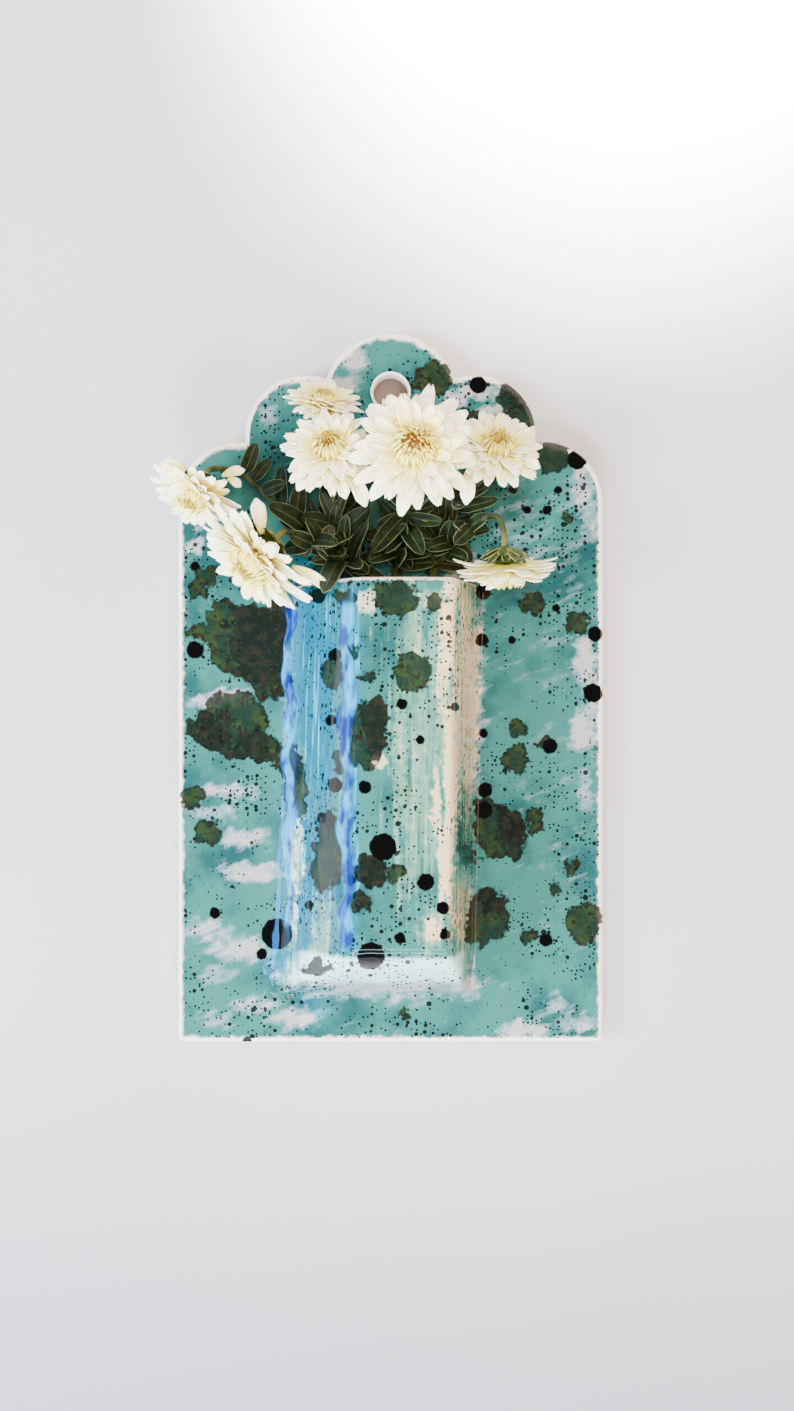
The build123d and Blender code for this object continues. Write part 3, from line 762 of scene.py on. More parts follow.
def makePocket():
    columns, outerRows, lip, wall, base = (pocket[key] for key in ("columns", "rows", "lipRound", "wall", "base"))
    top = pocket["mouth"] - lip
    slope = pocket["rise"] / pocket["depth"]
    floorLevel = base + wall * math.hypot(1, slope)
    skinY = frontY + pocket["proud"]
    height = np.linspace(base - pocket["toe"], top, outerRows)[:, None]
    across, depth = pocketLevel(height)
    rows = [stackPoints(across, skinY - depth, height)]
    turns = np.linspace(0, np.pi / 2, pocket["lipTurns"] + 1)[1:]
    for turn in turns:
        rows.append(insetRow(top, lip * (1 - np.cos(turn)), top + lip * np.sin(turn))[None])
    for turn in turns[::-1]:
        rows.append(insetRow(top, wall - lip * (1 - np.cos(turn)), top + lip * np.sin(turn))[None])
    for level in np.linspace(top, base + pocket["innerFoot"], pocket["innerRows"]):
        row = insetRow(level, wall, level)
        row[:, 2] = np.maximum(row[:, 2], floorLevel + (frontY - row[:, 1]) * slope)
        rows.append(row[None])
    last = rows[-1][0]
    middle = np.array([(last[0, 0] + last[-1, 0]) / 2, skinY, 0])
    for share in pocket["floorShares"]:
        row = middle + share * (last - middle)
        row[:, 2] = floorLevel + np.maximum(frontY - row[:, 1], 0) * slope
        rows.append(row[None])
    points = np.concatenate(rows)
    levels = len(points)
    fields = glazeFields(points)
    # The skin stands out a little under the painted highlight strips
    points[:outerRows, :, 1] -= pocket["stripRelief"] * fields["run"][:outerRows]
    rimRow, fade = pocket["rimRows"]
    edge = np.exp(-np.abs(np.arange(levels) - outerRows - rimRow)[:, None] / fade)
    fields["edge"] = np.broadcast_to(edge, (levels, columns))
    fields["bare"] = np.zeros((levels, columns))
    steps = np.hypot(np.diff(points[..., 0], axis=1), np.diff(points[..., 1], axis=1))
    travelled = np.concatenate([np.zeros((levels, 1)), np.cumsum(steps, axis=1)], axis=1)
    fields["unrolled"] = travelled - travelled[:, columns // 2][:, None]
    fields["level"] = points[..., 2]
    out = frontY - points[..., 1]
    fields["onPocket"] = smoothStep(0.5 * mm, 6 * mm, out) * smoothStep(0, 12 * mm, points[..., 2] - base)
    # Where the sloping underside gets its painted highlight
    fields["slope"] = smoothStep(*pocket["slopeOut"], out) * smoothStep(*pocket["slopeLevel"], points[..., 2])
    piece = buildMesh("pocketGlaze", points, gridFaces(1, levels, columns)[:, ::-1], fields)
    piece.data.materials.append(glazeFinish)
    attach(piece, "vase")
    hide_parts("pocket_front", "pocket_floor", "seam_coil")
    return piece


pocketPiece = makePocket()
print("pocket made:", len(pocketPiece.data.polygons), "faces")


# Bouquet: places are shares of its span, from the middle of the mouth's back edge, as in the model

bouquet = {
    "span": 120 * mm,
    "stemClearance": 0.3 * mm,
    "stemRadius": 1.5 * mm,
    "branchRadius": 1.05 * mm,
    "forkShare": 0.036,
    "neckShare": 0.3,
    "calyxDepth": 0.3,
    "cutHeight": -104 * mm,        # of the stems' cut ends, from the mouth
    "sprays": {"left": (-10 * mm, -0.08), "centre": (2 * mm, -0.02), "right": (12 * mm, 0.03)},
    "onSpray": {"left": ("far_left", "low_left", "back", "left"), "centre": ("main",), "right": ("right", "nodding")},
}
# Each head: its place, the way that it faces, its radius, and the bends of its branch from the fork
blooms = {
    "far_left": {"place": (-0.4375, 0.117, 0.21), "facing": (-0.33, -0.47, -0.82), "radius": 12.5 * mm,
        "bends": ((-0.167, 0.029, 0.094), (-0.275, 0.0375, 0.19), (-0.35, 0.05, 0.261))},
    "low_left": {"place": (-0.287, 0.175, 0.059), "facing": (-0.6, -0.42, -0.68), "radius": 17 * mm,
        "bends": ((-0.125, 0.042, 0.057), (-0.183, 0.083, 0.09))},
    "back": {"place": (-0.1575, 0.075, 0.4), "facing": (0.2, -0.6, 0.77), "radius": 10.5 * mm,
        "bends": ((-0.129, 0.025, 0.119), (-0.1625, 0.029, 0.269))},
    "left": {"place": (-0.134, 0.183, 0.275), "facing": (-0.05, -0.88, 0.47), "radius": 13 * mm,
        "bends": ((-0.125, 0.033, 0.086), (-0.133, 0.075, 0.1525))},
    "main": {"place": (0.0525, 0.25, 0.271), "facing": (0, -0.98, 0.17), "radius": 16.5 * mm,
        "bends": ((0.025, 0.029, 0.086), (0.046, 0.075, 0.186))},
    "right": {"place": (0.237, 0.133, 0.2825), "facing": (0.15, -0.8, 0.58), "radius": 13 * mm,
        "bends": ((0.121, 0.029, 0.119), (0.167, 0.0375, 0.2025))},
    "nodding": {"place": (0.2577, 0.1665, 0.0373), "facing": (0.05, 0.25, -0.967), "radius": 14 * mm,
        "bends": ((0.142, 0.042, 0.09), (0.204, 0.096, 0.14), (0.244, 0.15, 0.148))},
}
# Each leaf: the branch that carries it, the run of that branch, how far along it, its tip, breadth and roll
leafShares = {
    "left": (
        ("far_left", 2, 0.85, (-0.31, 0.065, 0.32), 0.8, 10),
        ("far_left", 2, 0.3, (-0.245, 0.09, 0.225), 0.75, 20),
        ("far_left", 1, 0.75, (-0.255, 0.045, 0.27), 0.78, -20),
        ("far_left", 1, 0.12, (-0.27, 0.1, 0.175), 1.2, 15),
        ("far_left", 0, 0.75, (-0.19, 0.06, 0.19), 0.88, -25),
        ("low_left", 1, 0.6, (-0.135, 0.115, 0.125), 0.75, 30),
        ("low_left", 0, 0.8, (-0.145, 0.21, -0.022), 1.1, 0),
        ("left", 1, 0.3, (-0.05, 0.1, 0.165), 1.1, 20),
        ("left", 0, 0.7, (-0.1, 0.125, 0.147), 0.7, 0),
        ("low_left", 0, 0.2, (-0.058, 0.117, 0.13), 0.7, -20),
        ("low_left", 0, 0.3, (-0.07, 0.165, 0.03), 0.9, 0),
        ("left", 1, 0.85, (-0.157, 0.117, 0.2), 0.6, 0),
        ("left", 0, 0.75, (-0.175, 0.06, 0.12), 0.9, 0),
        ("low_left", 0, 0.05, (-0.055, 0.08, 0.025), 0.9, 0),
        ("far_left", 1, 0.3, (-0.2, 0.03, 0.06), 0.9, 0),
        ("far_left", 1, 0.5, (-0.208, 0.054, 0.2275), 0.9, 0),
        ("far_left", 2, 0.6, (-0.28, 0.03, 0.29), 0.7, 0),
        ("left", 1, 0.8, (-0.104, 0.108, 0.198), 0.6, 0),
        ("left", 1, 0.6, (-0.058, 0.058, 0.21), 0.9, 0),
    ),
    "centre": (
        ("main", 1, 0.75, (-0.04, 0.108, 0.068), 1, 0),
        ("main", 1, 0.45, (0.07, 0.133, 0.065), 1, 10),
        ("main", 1, 0.2, (0.1, 0.075, 0.085), 0.9, 0),
        ("main", 0, 0.05, (0.035, 0.117, 0.06), 1.1, 0),
        ("main", 1, 0.65, (0.118, 0.1, 0.135), 0.7, 30),
        ("main", 0, 0.9, (-0.05, 0.08, 0.05), 0.9, 0),
        ("main", 1, 0.9, (0, 0.1, 0.2), 0.8, -20),
        ("main", 1, 0.8, (0.092, 0.075, 0.22), 0.9, 0),
        ("main", 1, 0.6, (0.108, 0.054, 0.16), 0.8, 0),
        ("main", 0, 0.1, (0.104, 0.058, 0.048), 0.9, 0),
        ("main", 0, 0.8, (-0.042, 0.042, 0.12), 0.9, 0),
    ),
    "right": (
        ("nodding", 0, 0.6, (0.137, 0.092, 0.139), 0.92, 0),
        ("right", 1, 0.6, (0.247, 0.075, 0.19), 0.7, 10),
        ("right", 1, 0.15, (0.244, 0.058, 0.155), 0.7, -30),
        ("nodding", 1, 0.3, (0.23, 0.058, 0.124), 0.5, 0),
        ("right", 0, 0.7, (0.083, 0.067, 0.136), 0.7, 0),
        ("nodding", 0, 0.2, (0.175, 0.067, 0.036), 0.9, 0),
        ("right", 1, 0.1, (0.13, 0.067, 0.215), 0.8, 0),
    ),
}


def spot(shares):
    # A place given as shares of the bouquet's span: across, out from the plaque and up from the mouth
    across, out, up = np.array(shares) * bouquet["span"]
    return np.array([across, frontY - out, pocket["mouth"] + up])


def stemPlace(spray, height):
    # The lower stem's middle at a height over the mouth: it leans, with its back just off the plaque
    offset, lean = bouquet["sprays"][spray]
    stemY = frontY - bouquet["stemClearance"] - bouquet["stemRadius"]
    return np.array([offset + lean * height, stemY, pocket["mouth"] + height])


def branchPoints(spray, head):
    # A branch from its stem's fork through its bends to the neck, behind the head
    bloom = blooms[head]
    back = -unit(np.array(bloom["facing"])) * bloom["radius"]
    neckEnd = spot(bloom["place"]) + back * bouquet["calyxDepth"]
    points = [stemPlace(spray, bouquet["forkShare"] * bouquet["span"])]
    points += [spot(shares) for shares in bloom["bends"]]
    return np.array(points + [neckEnd + back * bouquet["neckShare"], neckEnd])


def placeHead(points, head):
    # From a head's own directions, two across it and the one that it faces, to its place
    facing = unit(np.array(blooms[head]["facing"]))
    side = unit(np.cross(facing, (0.12, 0.35, 1.0)))
    return points @ np.stack([side, np.cross(facing, side), facing]) + spot(blooms[head]["place"])


def aroundHead(outward, aside, up, turn):
    # Distances out from a head's middle and aside, turned about it
    cosine, sine = np.cos(turn), np.sin(turn)
    return stackPoints(outward * cosine - aside * sine, outward * sine + aside * cosine, up)


def plantMaterial(name, look):
    # A first colour, coats over it, and ribs as relief where the look has them
    material, tree, shader = newMaterial(name, look)
    fields = readFields(tree, look)
    workOut(tree, fields, look["recipes"])
    colour = addCoats(tree, fields, {}, look["base"], look["coats"])
    dressShader(tree, shader, colour, fields.get("relief"), *look.get("bump", ()))
    return material


def makePiece(name, parts, finish, body, node=None, thickness=0, head=None):
    # Stacks of grids as one finished piece; a head's parts go from its own directions to its place
    points, faces, fields = joinGrids(parts)
    piece = buildMesh(name, placeHead(points, head) if head else points, faces, fields)
    if thickness:
        solidify = piece.modifiers.new("thickness", "SOLIDIFY")
        solidify.thickness = thickness
        solidify.offset = 0
    piece.data.materials.append(finish)
    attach(piece, body)
    if node:
        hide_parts(node)


# Fresh ray petals: thin, satin, a little see-through, yellow at the root and ivory at the tip.
petalLook = {
    "surface": {"Roughness": 0.5, "IOR": 1.4, "Subsurface Weight": 0.15, "Subsurface Radius": (1.0, 0.8, 0.45),
                "Subsurface Scale": 0.8 * mm},
    "attributes": ("along", "across", "tone"),
    "recipes": {
        "opened": (0, {"along": 1, "tone": 0.35}),
        "ribs": (0, {"across": 11}),           # veins run along the petal: a wave across it
        "relief": ("SINE", "ribs"),
        # Painted shade in the vein grooves: darker by up to 6% where the relief dips
        "grooveShade": (0.03, {"relief": -0.03}),
    },
    "base": "#e6d64c",
    "coats": (("#f9ec86", "opened", 0.02, 0.42), ("#fffcdc", "opened", 0.32, 0.9),
              ("#000000", "grooveShade")),
    "bump": (0.35, 0.12 * mm),
    "thickness": 0.22 * mm,
}
# The middle's tight florets: the same petals before they open, brownish pink at heart and butter yellow outside
eyeLook = {
    **petalLook,
    "base": "#bd8254",
    "coats": (("#e5cc42", "opened", 0.02, 0.42), ("#f3ea78", "opened", 0.32, 0.9), petalLook["coats"][2]),
    "count": 84,
    "spread": 0.26,                # these three in shares of the head's radius
    "breadth": 0.032,
    "dome": (0.3, 0.1, 0.13),      # radius, lowest level and height of the dome that closes the middle
    "spiralTurn": 137.508,         # degrees from each floret to the next
}
# Green bracts: waxy, darker towards the tip, with thin papery edges
bractLook = {
    "surface": {"Roughness": 0.45, "IOR": 1.4},
    "attributes": ("along", "across"),
    "recipes": {"aside": ("ABSOLUTE", "across")},
    "base": "#42561f",
    "coats": (("#22330f", "along", 0.1, 0.9), ("#8f8c5a", "aside", 0.72, 1)),
    "thickness": 0.15 * mm,
    "cupSides": 24,
}
petalFinish = plantMaterial("freshPetal", petalLook)
floretFinish = plantMaterial("curledFloret", eyeLook)
bractFinish = plantMaterial("waxyBract", bractLook)

# Rings of petals and bracts of one head: count, reach, breadth, root radius and root height in radii,
# rise at root and tip in degrees, hollow, and how far each is towards the colour of the root
ringKeys = ("count", "reach", "breadth", "root", "level", "rise", "cup", "warmth")
petalRings = {
    "outer": ((21, 1.04, 0.25, 0.17, 0.02, (22, -10), 0.2, 0), (19, 0.96, 0.24, 0.16, 0.07, (34, -2), 0.25, 0.1)),
    "inner": ((17, 0.84, 0.21, 0.14, 0.11, (46, 8), 0.3, 0.3), (15, 0.69, 0.18, 0.2, 0.13, (50, 18), 0.4, 0.55),
              (15, 0.56, 0.14, 0.28, 0.12, (46, 34), 0.6, 0.8)),
}
bractRings = ((13, 0.6, 0.17, 0.06, -0.25, (22, 24), -0.2, 0), (12, 0.46, 0.17, 0.05, -0.28, (12, 34), -0.2, 0))
petalLift = {"nodding": 0.72}      # how far the petals of a head rise, as a share of the usual


def petalPoints(ringValues, radius, rng, rows=12, columns=7):
    # Petals bend from one rise to another along their length, are hollow across, and end in a blunt notched tip
    ring = dict(zip(ringKeys, ringValues))
    count = ring["count"]
    wobble = lambda size: rng.uniform(-size, size, count)[:, None, None]
    along, across = gridAxes(rows, columns)
    azimuth = 2 * np.pi * (np.arange(count)[:, None, None] + 0.3 * wobble(1)) / count
    length = (ring["reach"] - ring["root"]) * radius * (1 + wobble(0.13))
    atRoot, atTip = ring["rise"]
    rise = np.radians(atRoot + wobble(9) + (atTip - atRoot + wobble(14)) * along)
    between = (rise[:, 1:] + rise[:, :-1]) / 2
    run, climb = (np.pad(np.cumsum(part * length / (rows - 1), axis=1), ((0, 0), (1, 0), (0, 0)))
                  for part in (np.cos(between), np.sin(between)))
    half = ring["breadth"] * radius / 2 * (1 + wobble(0.12))
    swell = 0.34 + 0.66 * np.sin(np.pi / 2 * ramp(0, 0.6, along)) ** 1.2
    width = half * swell * (1 - 0.42 * ramp(0.7, 1, along) ** 2)
    notch = 0.05 * np.exp(-(across / 0.22) ** 2) * (1 + wobble(1))
    back = length * along ** 3 * (0.1 * np.abs(across) ** 2.2 + notch)
    hollow = ring["cup"] * width * across ** 2 * (1 - 0.4 * along)
    hollow = hollow + 0.06 * half * np.sin(2.2 * np.pi * across + wobble(3)) * along
    hollow = hollow + 0.3 * width * across * wobble(1) * along
    outward = ring["root"] * radius + run - np.sin(rise) * hollow - np.cos(rise) * back
    up = ring["level"] * radius + climb + np.cos(rise) * hollow - np.sin(rise) * back
    aside = width * across + 0.12 * half * np.sin(np.pi * along) * wobble(2)
    return withFields(aroundHead(outward, aside, up, azimuth), along, across, wobble(0.5) - ring["warmth"])


def makePetals(head, body, seed):
    for part, rings in petalRings.items():
        rng = np.random.default_rng(seed + len(part) + (7 if part == "inner" else 0))
        petals = (petalPoints(ring, blooms[head]["radius"], rng) for ring in rings)
        parts = [(points * (1, 1, petalLift.get(head, 1)), fields) for points, fields in petals]
        makePiece(f"{head}_{part}Petals", parts, petalFinish, body, f"{head}_bloom_{part}_petals",
                  petalLook["thickness"], head)


def makeEye(head, body, seed):
    # Florets in a sunflower spiral: an even turn from each to the next, and radius as the root of the number.
    # Each is a narrow tube whose slope turns along it, from leaning outward to curling over the middle.
    radius = blooms[head]["radius"]
    rng = np.random.default_rng(seed)
    count = eyeLook["count"]
    order = np.arange(count)[:, None, None]
    spread = lambda size: rng.uniform(-size, size, count)[:, None, None]
    reach = np.sqrt((order + 0.5) / count)
    rows = 9
    along, around = gridAxes(rows, 7, 0, 2 * np.pi)
    start = np.radians(90 - 52 * reach + spread(9))
    finish = np.radians(92 + 62 * reach + spread(16))
    slope = start + (finish - start) * along
    step = (0.2 + 0.17 * reach + spread(0.03)) * radius / (rows - 1)
    outward = (0.03 + eyeLook["spread"] * reach) * radius + np.cumsum(np.cos(slope), axis=1) * step
    up = (0.17 - 0.03 * reach) * radius + np.cumsum(np.sin(slope), axis=1) * step
    swell = (0.35 + 0.65 * np.sin(np.pi * along ** 0.8) ** 0.7) * np.where(along > 0.98, 0.35, 1)
    half = eyeLook["breadth"] * radius * swell * (1 + 0.2 * spread(1))
    lift = 0.55 * half * np.sin(around)
    points = aroundHead(outward - np.sin(slope) * lift, half * np.cos(around), up + np.cos(slope) * lift,
                        order * math.radians(eyeLook["spiralTurn"]))
    florets = withFields(points, along, np.cos(around), 1.5 * (reach - 0.85) + spread(0.2))
    # A low dome closes the middle under them: its radius goes with the sine, its height with the cosine
    bend, circle = gridAxes(8, 25, 0, 2 * np.pi)
    wide, level, high = eyeLook["dome"]
    bend = bend * np.pi / 2
    dome = aroundHead(wide * np.sin(bend), 0, level + high * np.cos(bend), circle) * radius
    makePiece(f"{head}_eyeFlorets", [florets, withFields(dome[:, :, ::-1], 0.1, 0)], floretFinish, body,
              f"{head}_bloom_eye", head=head)


def makeCalyx(head, body, seed):
    radius = blooms[head]["radius"]
    rng = np.random.default_rng(seed)
    parts = [petalPoints(ring, radius, rng, rows=8, columns=5) for ring in bractRings]
    # A solid cup under them: its radius swells from the neck to the petals
    along, around = gridAxes(9, bractLook["cupSides"] + 1, 0, 2 * np.pi)
    swell = 0.08 + 0.17 * np.sin(np.pi / 2 * along) ** 0.7 - 0.24 * ramp(0.9, 1, along)
    cup = aroundHead(np.maximum(swell, 0.002), 0, -0.3 + 0.32 * along, around) * radius
    makePiece(f"{head}_bracts", parts + [withFields(cup, along, 0)], bractFinish, body,
              f"{head}_bloom_calyx", bractLook["thickness"], head)


# Petals that stand away from their heads: base and tip in the photograph's pixels, height over the plaque, breadth
loosePetals = {
    "far_left": ((222, 476, 245, 470, 14 * mm, 10), (228, 478, 241, 487, 15 * mm, 9),
                 (186, 470, 160, 463, 21 * mm, 12), (190, 480, 163, 477, 22 * mm, 12),
                 (193, 484, 168, 493, 22 * mm, 12)),
    "low_left": ((262, 534, 256, 498, 24 * mm, 14), (292, 566, 330, 590, 20 * mm, 11)),
    "left": ((312, 470, 297, 491, 24 * mm, 11), (350, 474, 366, 507, 27 * mm, 14), (338, 478, 346, 499, 27 * mm, 11)),
    "right": ((468, 470, 466, 505, 20 * mm, 14), (496, 468, 505, 487, 22 * mm, 11),
              (520, 460, 540, 468, 20 * mm, 11)),
}


def fromPhoto(across, down, out):
    # The place seen at a pixel, at a height over the plaque's front: toPhoto turned round
    pixel = view["pixel"] * (view["eyeDistance"] - out) / view["eyeDistance"]
    x = view["eyeAcross"] + (across - view["pixelsWide"] / 2) * pixel
    return stackPoints(x, frontY - out, view["eyeHeight"] + (view["pixelsHigh"] / 2 - down) * pixel)


def bladePoints(base, forward, side, normal, reach, aside, lift):
    # Blades from their bases: so far along, aside and up in each blade's own three directions
    ways = ((forward, reach), (side, aside), (normal, lift))
    return base[:, None, None] + sum(way[:, None, None] * amount[..., None] for way, amount in ways)


def loosePetalGrid(marks, rng, rows=12, columns=7):
    # Spoon-shaped blades: half width swells as the sine of the length, with hollow cross-sections and bent tips
    fromAcross, fromDown, toAcross, toDown, out, breadth = np.array(marks).T
    base = fromPhoto(fromAcross, fromDown, out)
    run = fromPhoto(toAcross, toDown, out + rng.uniform(-1, 2, len(marks)) * mm) - base
    length = np.linalg.norm(run, axis=1)[:, None, None]
    forward = unit(run)
    side = unit(np.cross(forward, (0.1, -1.0, 0.2)))
    along, across = gridAxes(rows, columns)
    half = (breadth / 2 * view["pixel"])[:, None, None]
    width = half * (0.3 + 0.7 * np.sin(np.pi / 2 * ramp(0, 0.65, along))) * (1 - 0.5 * ramp(0.8, 1, along) ** 2)
    reach = length * along - length * 0.12 * along ** 3 * across ** 2
    lift = 0.35 * width * across ** 2 + 0.16 * length * np.sin(np.pi * along)
    points = bladePoints(base, forward, side, np.cross(side, forward), reach, width * across, lift)
    return withFields(points, 0.25 + 0.75 * along, across)


def makeLoosePetals(head, body, seed):
    parts = [loosePetalGrid(loosePetals[head], np.random.default_rng(seed))]
    makePiece(f"{head}_loosePetals", parts, petalFinish, body, thickness=petalLook["thickness"])


for spray, heads in bouquet["onSpray"].items():
    for number, head in enumerate(heads):
        seed = 100 + 10 * number + 50 * len(spray)
        makePetals(head, f"{spray}_spray", seed)
        makeEye(head, f"{spray}_spray", seed + 1)
        makeCalyx(head, f"{spray}_spray", seed + 2)
        if head in loosePetals:
            makeLoosePetals(head, f"{spray}_spray", seed + 3)
print("flower heads made")


# Stems: green, faintly ribbed, paler under the heads
stemLook = {
    "surface": {"Roughness": 0.5, "IOR": 1.4},
    "attributes": ("along", "across"),
    "patterns": {"blotchy": (3 * mm, 3, (1, 1, 3))},
    "recipes": {"ribs": (0, {"across": 7}), "relief": ("SINE", "ribs")},
    "base": "#323c1b",
    "coats": (("#1a2010", "blotchy", 0.4, 0.65), ("#5f6437", "along", 0.8, 1)),
    "bump": (0.4, 0.12 * mm),
    "lowerPoints": 12,
    "lowerTone": 0.2,              # the lower stem is coloured as this first part of a branch
}
stemFinish = plantMaterial("ribbedStem", stemLook)


def smoothRoute(points):
    # A rounded route: corners cut three times by a quarter of each run
    for _ in range(3):
        near = 0.75 * points[:-1] + 0.25 * points[1:]
        far = 0.25 * points[:-1] + 0.75 * points[1:]
        middle = np.stack([near, far], axis=1).reshape(-1, 3)
        points = np.concatenate([points[:1], middle[1:-1], points[-1:]])
    return points


def tubeGrid(route, radii, sides=12):
    # A circle carried along a route, turned at each point into the plane across its run.
    # Its ends are closed: the first and last rings shrink onto the route.
    run = unit(np.gradient(route, axis=0))
    side = unit(np.cross(run, (0.31, 0.9, 0.17)))
    other = np.cross(run, side)
    along, around = gridAxes(len(route) + 2, sides + 1, 0, 2 * np.pi)
    ring = side[:, None] * np.cos(around[0, ..., None]) + other[:, None] * np.sin(around[0, ..., None])
    points = route[:, None] + ring * radii[:, None, None]
    firstEnd, lastEnd = (np.repeat(end[None, None], sides + 1, axis=1) for end in (route[0], route[-1]))
    points = np.concatenate([firstEnd, points, lastEnd])
    return withFields(points[None], along, around)


def makeStem(spray):
    fork = stemPlace(spray, bouquet["forkShare"] * bouquet["span"])
    foot = stemPlace(spray, bouquet["cutHeight"])
    count = stemLook["lowerPoints"]
    grid, fields = tubeGrid(np.linspace(foot, fork, count), np.full(count, bouquet["stemRadius"]))
    fields["along"] = fields["along"] * stemLook["lowerTone"]
    parts = [(grid, fields)]
    for head in bouquet["onSpray"][spray]:
        route = smoothRoute(branchPoints(spray, head))
        radii = bouquet["branchRadius"] * (1.15 - 0.4 * np.sin(np.linspace(0, np.pi * 0.8, len(route))))
        parts.append(tubeGrid(route, radii))
    makePiece(f"{spray}_stem", parts, stemFinish, f"{spray}_spray", f"{spray}_spray_stem")


# Leaves: leathery, almost black green, some brown, with a paler midrib and rim
leafLook = {
    "surface": {"Roughness": 0.5, "IOR": 1.38, "Specular IOR Level": 0.25},
    "attributes": ("along", "across", "tone"),
    "patterns": {"patches": (2 * mm, 3)},
    "recipes": {
        "aside": ("ABSOLUTE", "across"),
        "veins": (0, {"along": 60, "aside": -15}),         # slanting back from the midrib
        "relief": ("SINE", "veins"),
    },
    "base": "#10180b",
    "coats": (("#1d2915", "patches", 0.35, 0.7), ("#26240f", "tone", 0.36, 0.5),
              ("#76805a", "aside", 0.09, 0.03, 0.22), ("#76805a", "aside", 0.9, 0.98, 0.6)),
    "bump": (0.12, 0.1 * mm),
    "width": 5.2 * mm,
    "thickness": 0.25 * mm,
    # Small leaves that fill the dark behind the others: how many on each spray, their length, breadth and roll
    "fill": {"left": 34, "centre": 26, "right": 20},
    "fillLength": (6, 11),
    "fillBreadth": (3.4, 5),
    "fillRoll": 35,
    "offPlaque": (1.2 * mm, 0.3 * mm),     # how near the plaque a tip, and any other point, may come
}
leafFinish = plantMaterial("leatheryLeaf", leafLook)


def leafGrid(base, tip, width, roll, bend, tone, rows=15, columns=9):
    # Oval blades: half width = the root of 1 - |2s - 1|^2.4, narrower at the base, folded along the midrib,
    # tip bent back
    run = tip - base
    length = np.linalg.norm(run, axis=-1, keepdims=True)
    forward = run / length
    toward = np.array([0.0, -1.0, 0.25])
    normal = unit(toward - forward * (forward @ toward)[:, None])
    side = np.cross(normal, forward)
    turn = np.radians(roll)[:, None]
    side, normal = side * np.cos(turn) + normal * np.sin(turn), normal * np.cos(turn) - side * np.sin(turn)
    along, across = gridAxes(rows, columns)
    length, bend = length[..., None], bend[:, None, None]
    oval = np.sqrt(np.clip(1 - np.abs(2 * along ** 0.9 - 1) ** 2.4, 0, 1)) * smoothStep(-0.1, 0.3, along)
    half = width[:, None, None] / 2 * (0.07 + 0.93 * oval)
    lift = 0.2 * half * np.abs(across) + bend * length * (0.5 * np.sin(np.pi * along) - 0.6 * along ** 3)
    reach = length * along + 0 * across
    points = bladePoints(base, forward, side, normal, reach, half * across, lift)
    return withFields(points, along, across, tone[:, None, None])


def makeLeaves(spray, seed):
    rng = np.random.default_rng(seed)
    bases, tips, widths, rolls = [], [], [], []

    def addLeaf(head, run, share):
        points = branchPoints(spray, head)
        bases.append(points[run] + (points[run + 1] - points[run]) * share)

    for head, run, share, tipShares, breadth, roll in leafShares[spray]:
        addLeaf(head, run, share)
        tips.append(spot(tipShares))
        widths.append(breadth * leafLook["width"])
        rolls.append(roll)
    heads = bouquet["onSpray"][spray]
    for number in range(leafLook["fill"][spray]):
        run = int(rng.integers(0, 2))
        addLeaf(heads[number % len(heads)], run, rng.uniform(0, 1))
        heading = unit(np.array([rng.normal(0, 1), rng.uniform(-0.9, 0.1), rng.normal(0.15, 0.8)]))
        tips.append(bases[-1] + heading * rng.uniform(*leafLook["fillLength"]) * mm)
        widths.append(rng.uniform(*leafLook["fillBreadth"]) * mm)
        rolls.append(rng.uniform(-leafLook["fillRoll"], leafLook["fillRoll"]))
    bases, tips, widths, rolls = (np.array(values) for values in (bases, tips, widths, rolls))
    tipLimit, limit = leafLook["offPlaque"]
    tips[:, 1] = np.minimum(tips[:, 1], frontY - tipLimit)
    bend = rng.uniform(0.03, 0.2, len(bases))
    tone = rng.uniform(-0.5, 0.5, len(bases))
    points, fields = leafGrid(bases, tips, widths, rolls, bend, tone)
    points[..., 1] = np.minimum(points[..., 1], frontY - limit)
    makePiece(f"{spray}_leaves", [(points, fields)], leafFinish, f"{spray}_spray", f"{spray}_spray_leaves",
              leafLook["thickness"])


for number, spray in enumerate(bouquet["sprays"]):
    makeStem(spray)
    makeLeaves(spray, 900 + number)
print("stems and leaves made")


# The wall behind the vase: matt paint on plaster, a little cloudy, with painted shade that darkens it below and a
# painted shadow inside the hanging hole
wall = {
    "surface": {"Roughness": 0.8, "Specular IOR Level": 0},
    "patterns": {"cloud": (180 * mm, 2)},
    "base": "#b7b8be",
    # Painted shade: darker towards the bottom; painted shadow: a dark taupe disc where the hanging hole shows the
    # wall
    "coats": (("#afb0b6", "cloud", 0.3, 0.7), ("#898a94", "height", -0.15, -0.31),
              ("#6f625c", "radius", 5.6 * mm, 4.6 * mm)),
    "size": 12.0,
    "gap": 0.4 * mm,
    "opening": (plaqueLow.x + 3 * mm, plaqueHigh.x - 3 * mm, plaqueLow.z + 3 * mm, -26 * mm),
    "upperOpening": (38 * mm, -4 * mm, 9 * mm),    # half width, top, and half size of the patch behind the hole
}


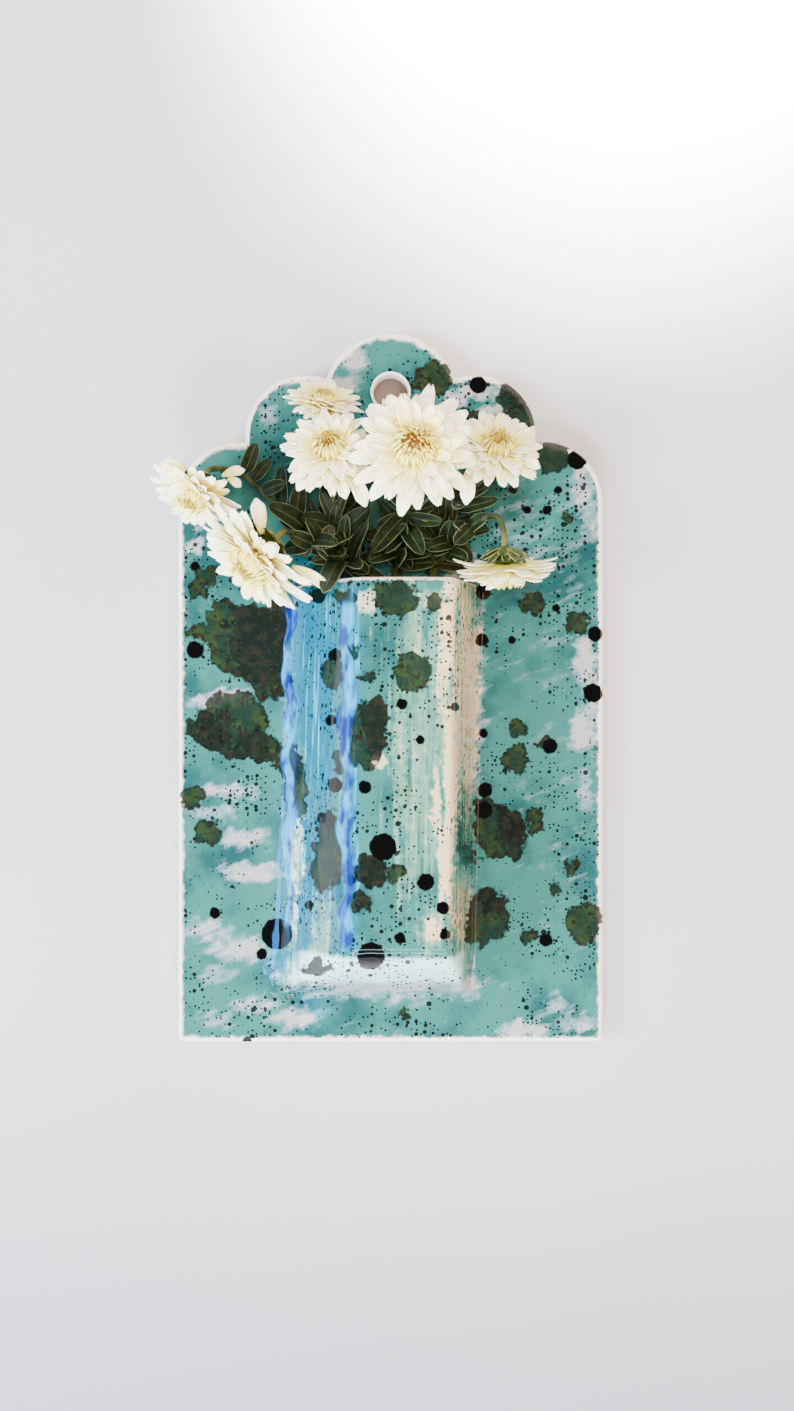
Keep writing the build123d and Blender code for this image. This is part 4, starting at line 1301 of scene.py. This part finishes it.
def makeWall():
    # A flat sheet in panels, without those right behind the plaque, where the front never shows it,
    # so that the vase's back gets light when it is looked at from behind; one stays behind the hanging hole
    half = wall["size"] / 2
    left, right, low, high = wall["opening"]
    wide, top, patch = wall["upperOpening"]
    x = np.array([-half, left, -wide, -patch, patch, wide, right, half])
    z = np.array([-half, low, high, -patch, top, half])
    middleX = np.abs(x[1:] + x[:-1])[None, :] / 2
    middleZ = (z[1:] + z[:-1])[:, None] / 2
    lower = (middleZ > low) & (middleZ < high) & (middleX < right)
    upper = (middleZ > high) & (middleZ < top) & (middleX < wide) & ((middleX > patch) | (middleZ < -patch))
    panels = gridFaces(1, len(z), len(x))[~(lower | upper).ravel()]
    piece = buildMesh("wall", stackPoints(x[None, :], wall["gap"], z[:, None]), panels)
    material, tree, shader = newMaterial("paintedPlaster", wall)
    fields = readFields(tree, wall)
    fields["height"] = addNode(tree, "SeparateXYZ", {0: fields["place"]}, 2)
    fields["radius"] = addNode(tree, "VectorMath", {0: fields["place"]}, "Value", operation="LENGTH")
    dressShader(tree, shader, addCoats(tree, fields, {}, wall["base"], wall["coats"]))
    # From behind, the wall lets the view through to the vase's back
    behind = addNode(tree, "NewGeometry", output="Backfacing")
    clear = addNode(tree, "BsdfTransparent")
    either = addNode(tree, "MixShader", {0: behind, 1: shader.outputs[0], 2: clear})
    output = next(node for node in tree.nodes if node.type == "OUTPUT_MATERIAL")
    tree.links.new(either, output.inputs["Surface"])
    piece.data.materials.append(material)


# Soft windows and bounces: where each stands, its size and power, and what it lights
pocketMiddle = (0, -0.02, -0.09)
lights = {
    "keyWindow": {"place": (-0.8, -0.6, -0.3), "size": (0.35, 0.45), "power": 39, "colour": "#ebf2ff",
                  "glossy": False},
    "frontFill": {"place": (0.2, -1.3, 0.2), "size": (1.2, 1.2), "power": 55, "colour": "#ffefdf", "glossy": False},
    "topGlow": {"place": (0.08, -0.35, 0.45), "target": (0.07, 0, 0.21), "size": (0.06, 0.06), "power": 15,
                "colour": "#ffffff", "glossy": False, "spread": 32},
    "skyWindow": {"place": (-0.78, -0.18, -0.1), "size": (0.17, 0.9), "power": 17, "colour": "#3f9cff",
                  "diffuse": False},
    "lowBounce": {"place": (-0.08, -0.5, -0.75), "target": (0, 0, -0.15), "size": (0.5, 0.3), "power": 20,
                  "colour": "#f2faff", "glossy": False},
    "lowWindow": {"place": (-0.08, -0.5, -0.75), "target": (0, 0, -0.15), "size": (0.6, 0.45), "power": 26,
                  "colour": "#d8f2ff", "diffuse": False},
    "warmSide": {"place": (0.8, -0.5, -0.2), "size": (0.25, 0.6), "power": 7, "colour": "#ffbf86"},
}


def addLight(name, place, size, power, colour, target=pocketMiddle, diffuse=True, glossy=True, spread=180):
    lamp = bpy.data.lights.new(name, "AREA")
    lamp.shape = "RECTANGLE"
    lamp.size, lamp.size_y = size
    lamp.spread = math.radians(spread)
    lamp.energy = power
    lamp.color = linear(colour)[:3]
    holder = addObject(name, lamp)
    away = unit(np.array(place, float) - np.array(target, float))
    across = unit(np.cross((0, 0, 1), away))
    turn = mathutils.Matrix([across, np.cross(away, across), away]).transposed()
    holder.matrix_world = mathutils.Matrix.Translation(place) @ turn.to_4x4()
    holder.visible_diffuse = diffuse
    holder.visible_glossy = glossy


makeWall()
for name, values in lights.items():
    addLight(name, **values)
surround = {"colour": "#e8edf2", "strength": 0.3}
world = bpy.data.worlds.new("studio")
bpy.context.scene.world = world
world.use_nodes = True
background = world.node_tree.nodes["Background"]
background.inputs["Color"].default_value = linear(surround["colour"])
background.inputs["Strength"].default_value = surround["strength"]

cameraData = bpy.data.cameras.new("photoView")
camera = addObject("photoView", cameraData)
cameraData.sensor_fit = "VERTICAL"
cameraData.sensor_height = 24
halfHeight = view["pixelsHigh"] * view["pixel"] / 2
cameraData.lens = cameraData.sensor_height / 2 * view["eyeDistance"] / halfHeight
cameraData.clip_start = 0.01
camera.location = (view["eyeAcross"], frontY - view["eyeDistance"], view["eyeHeight"])
camera.rotation_euler = (math.pi / 2, 0, 0)
bpy.context.scene.camera = camera
print("light and camera set")
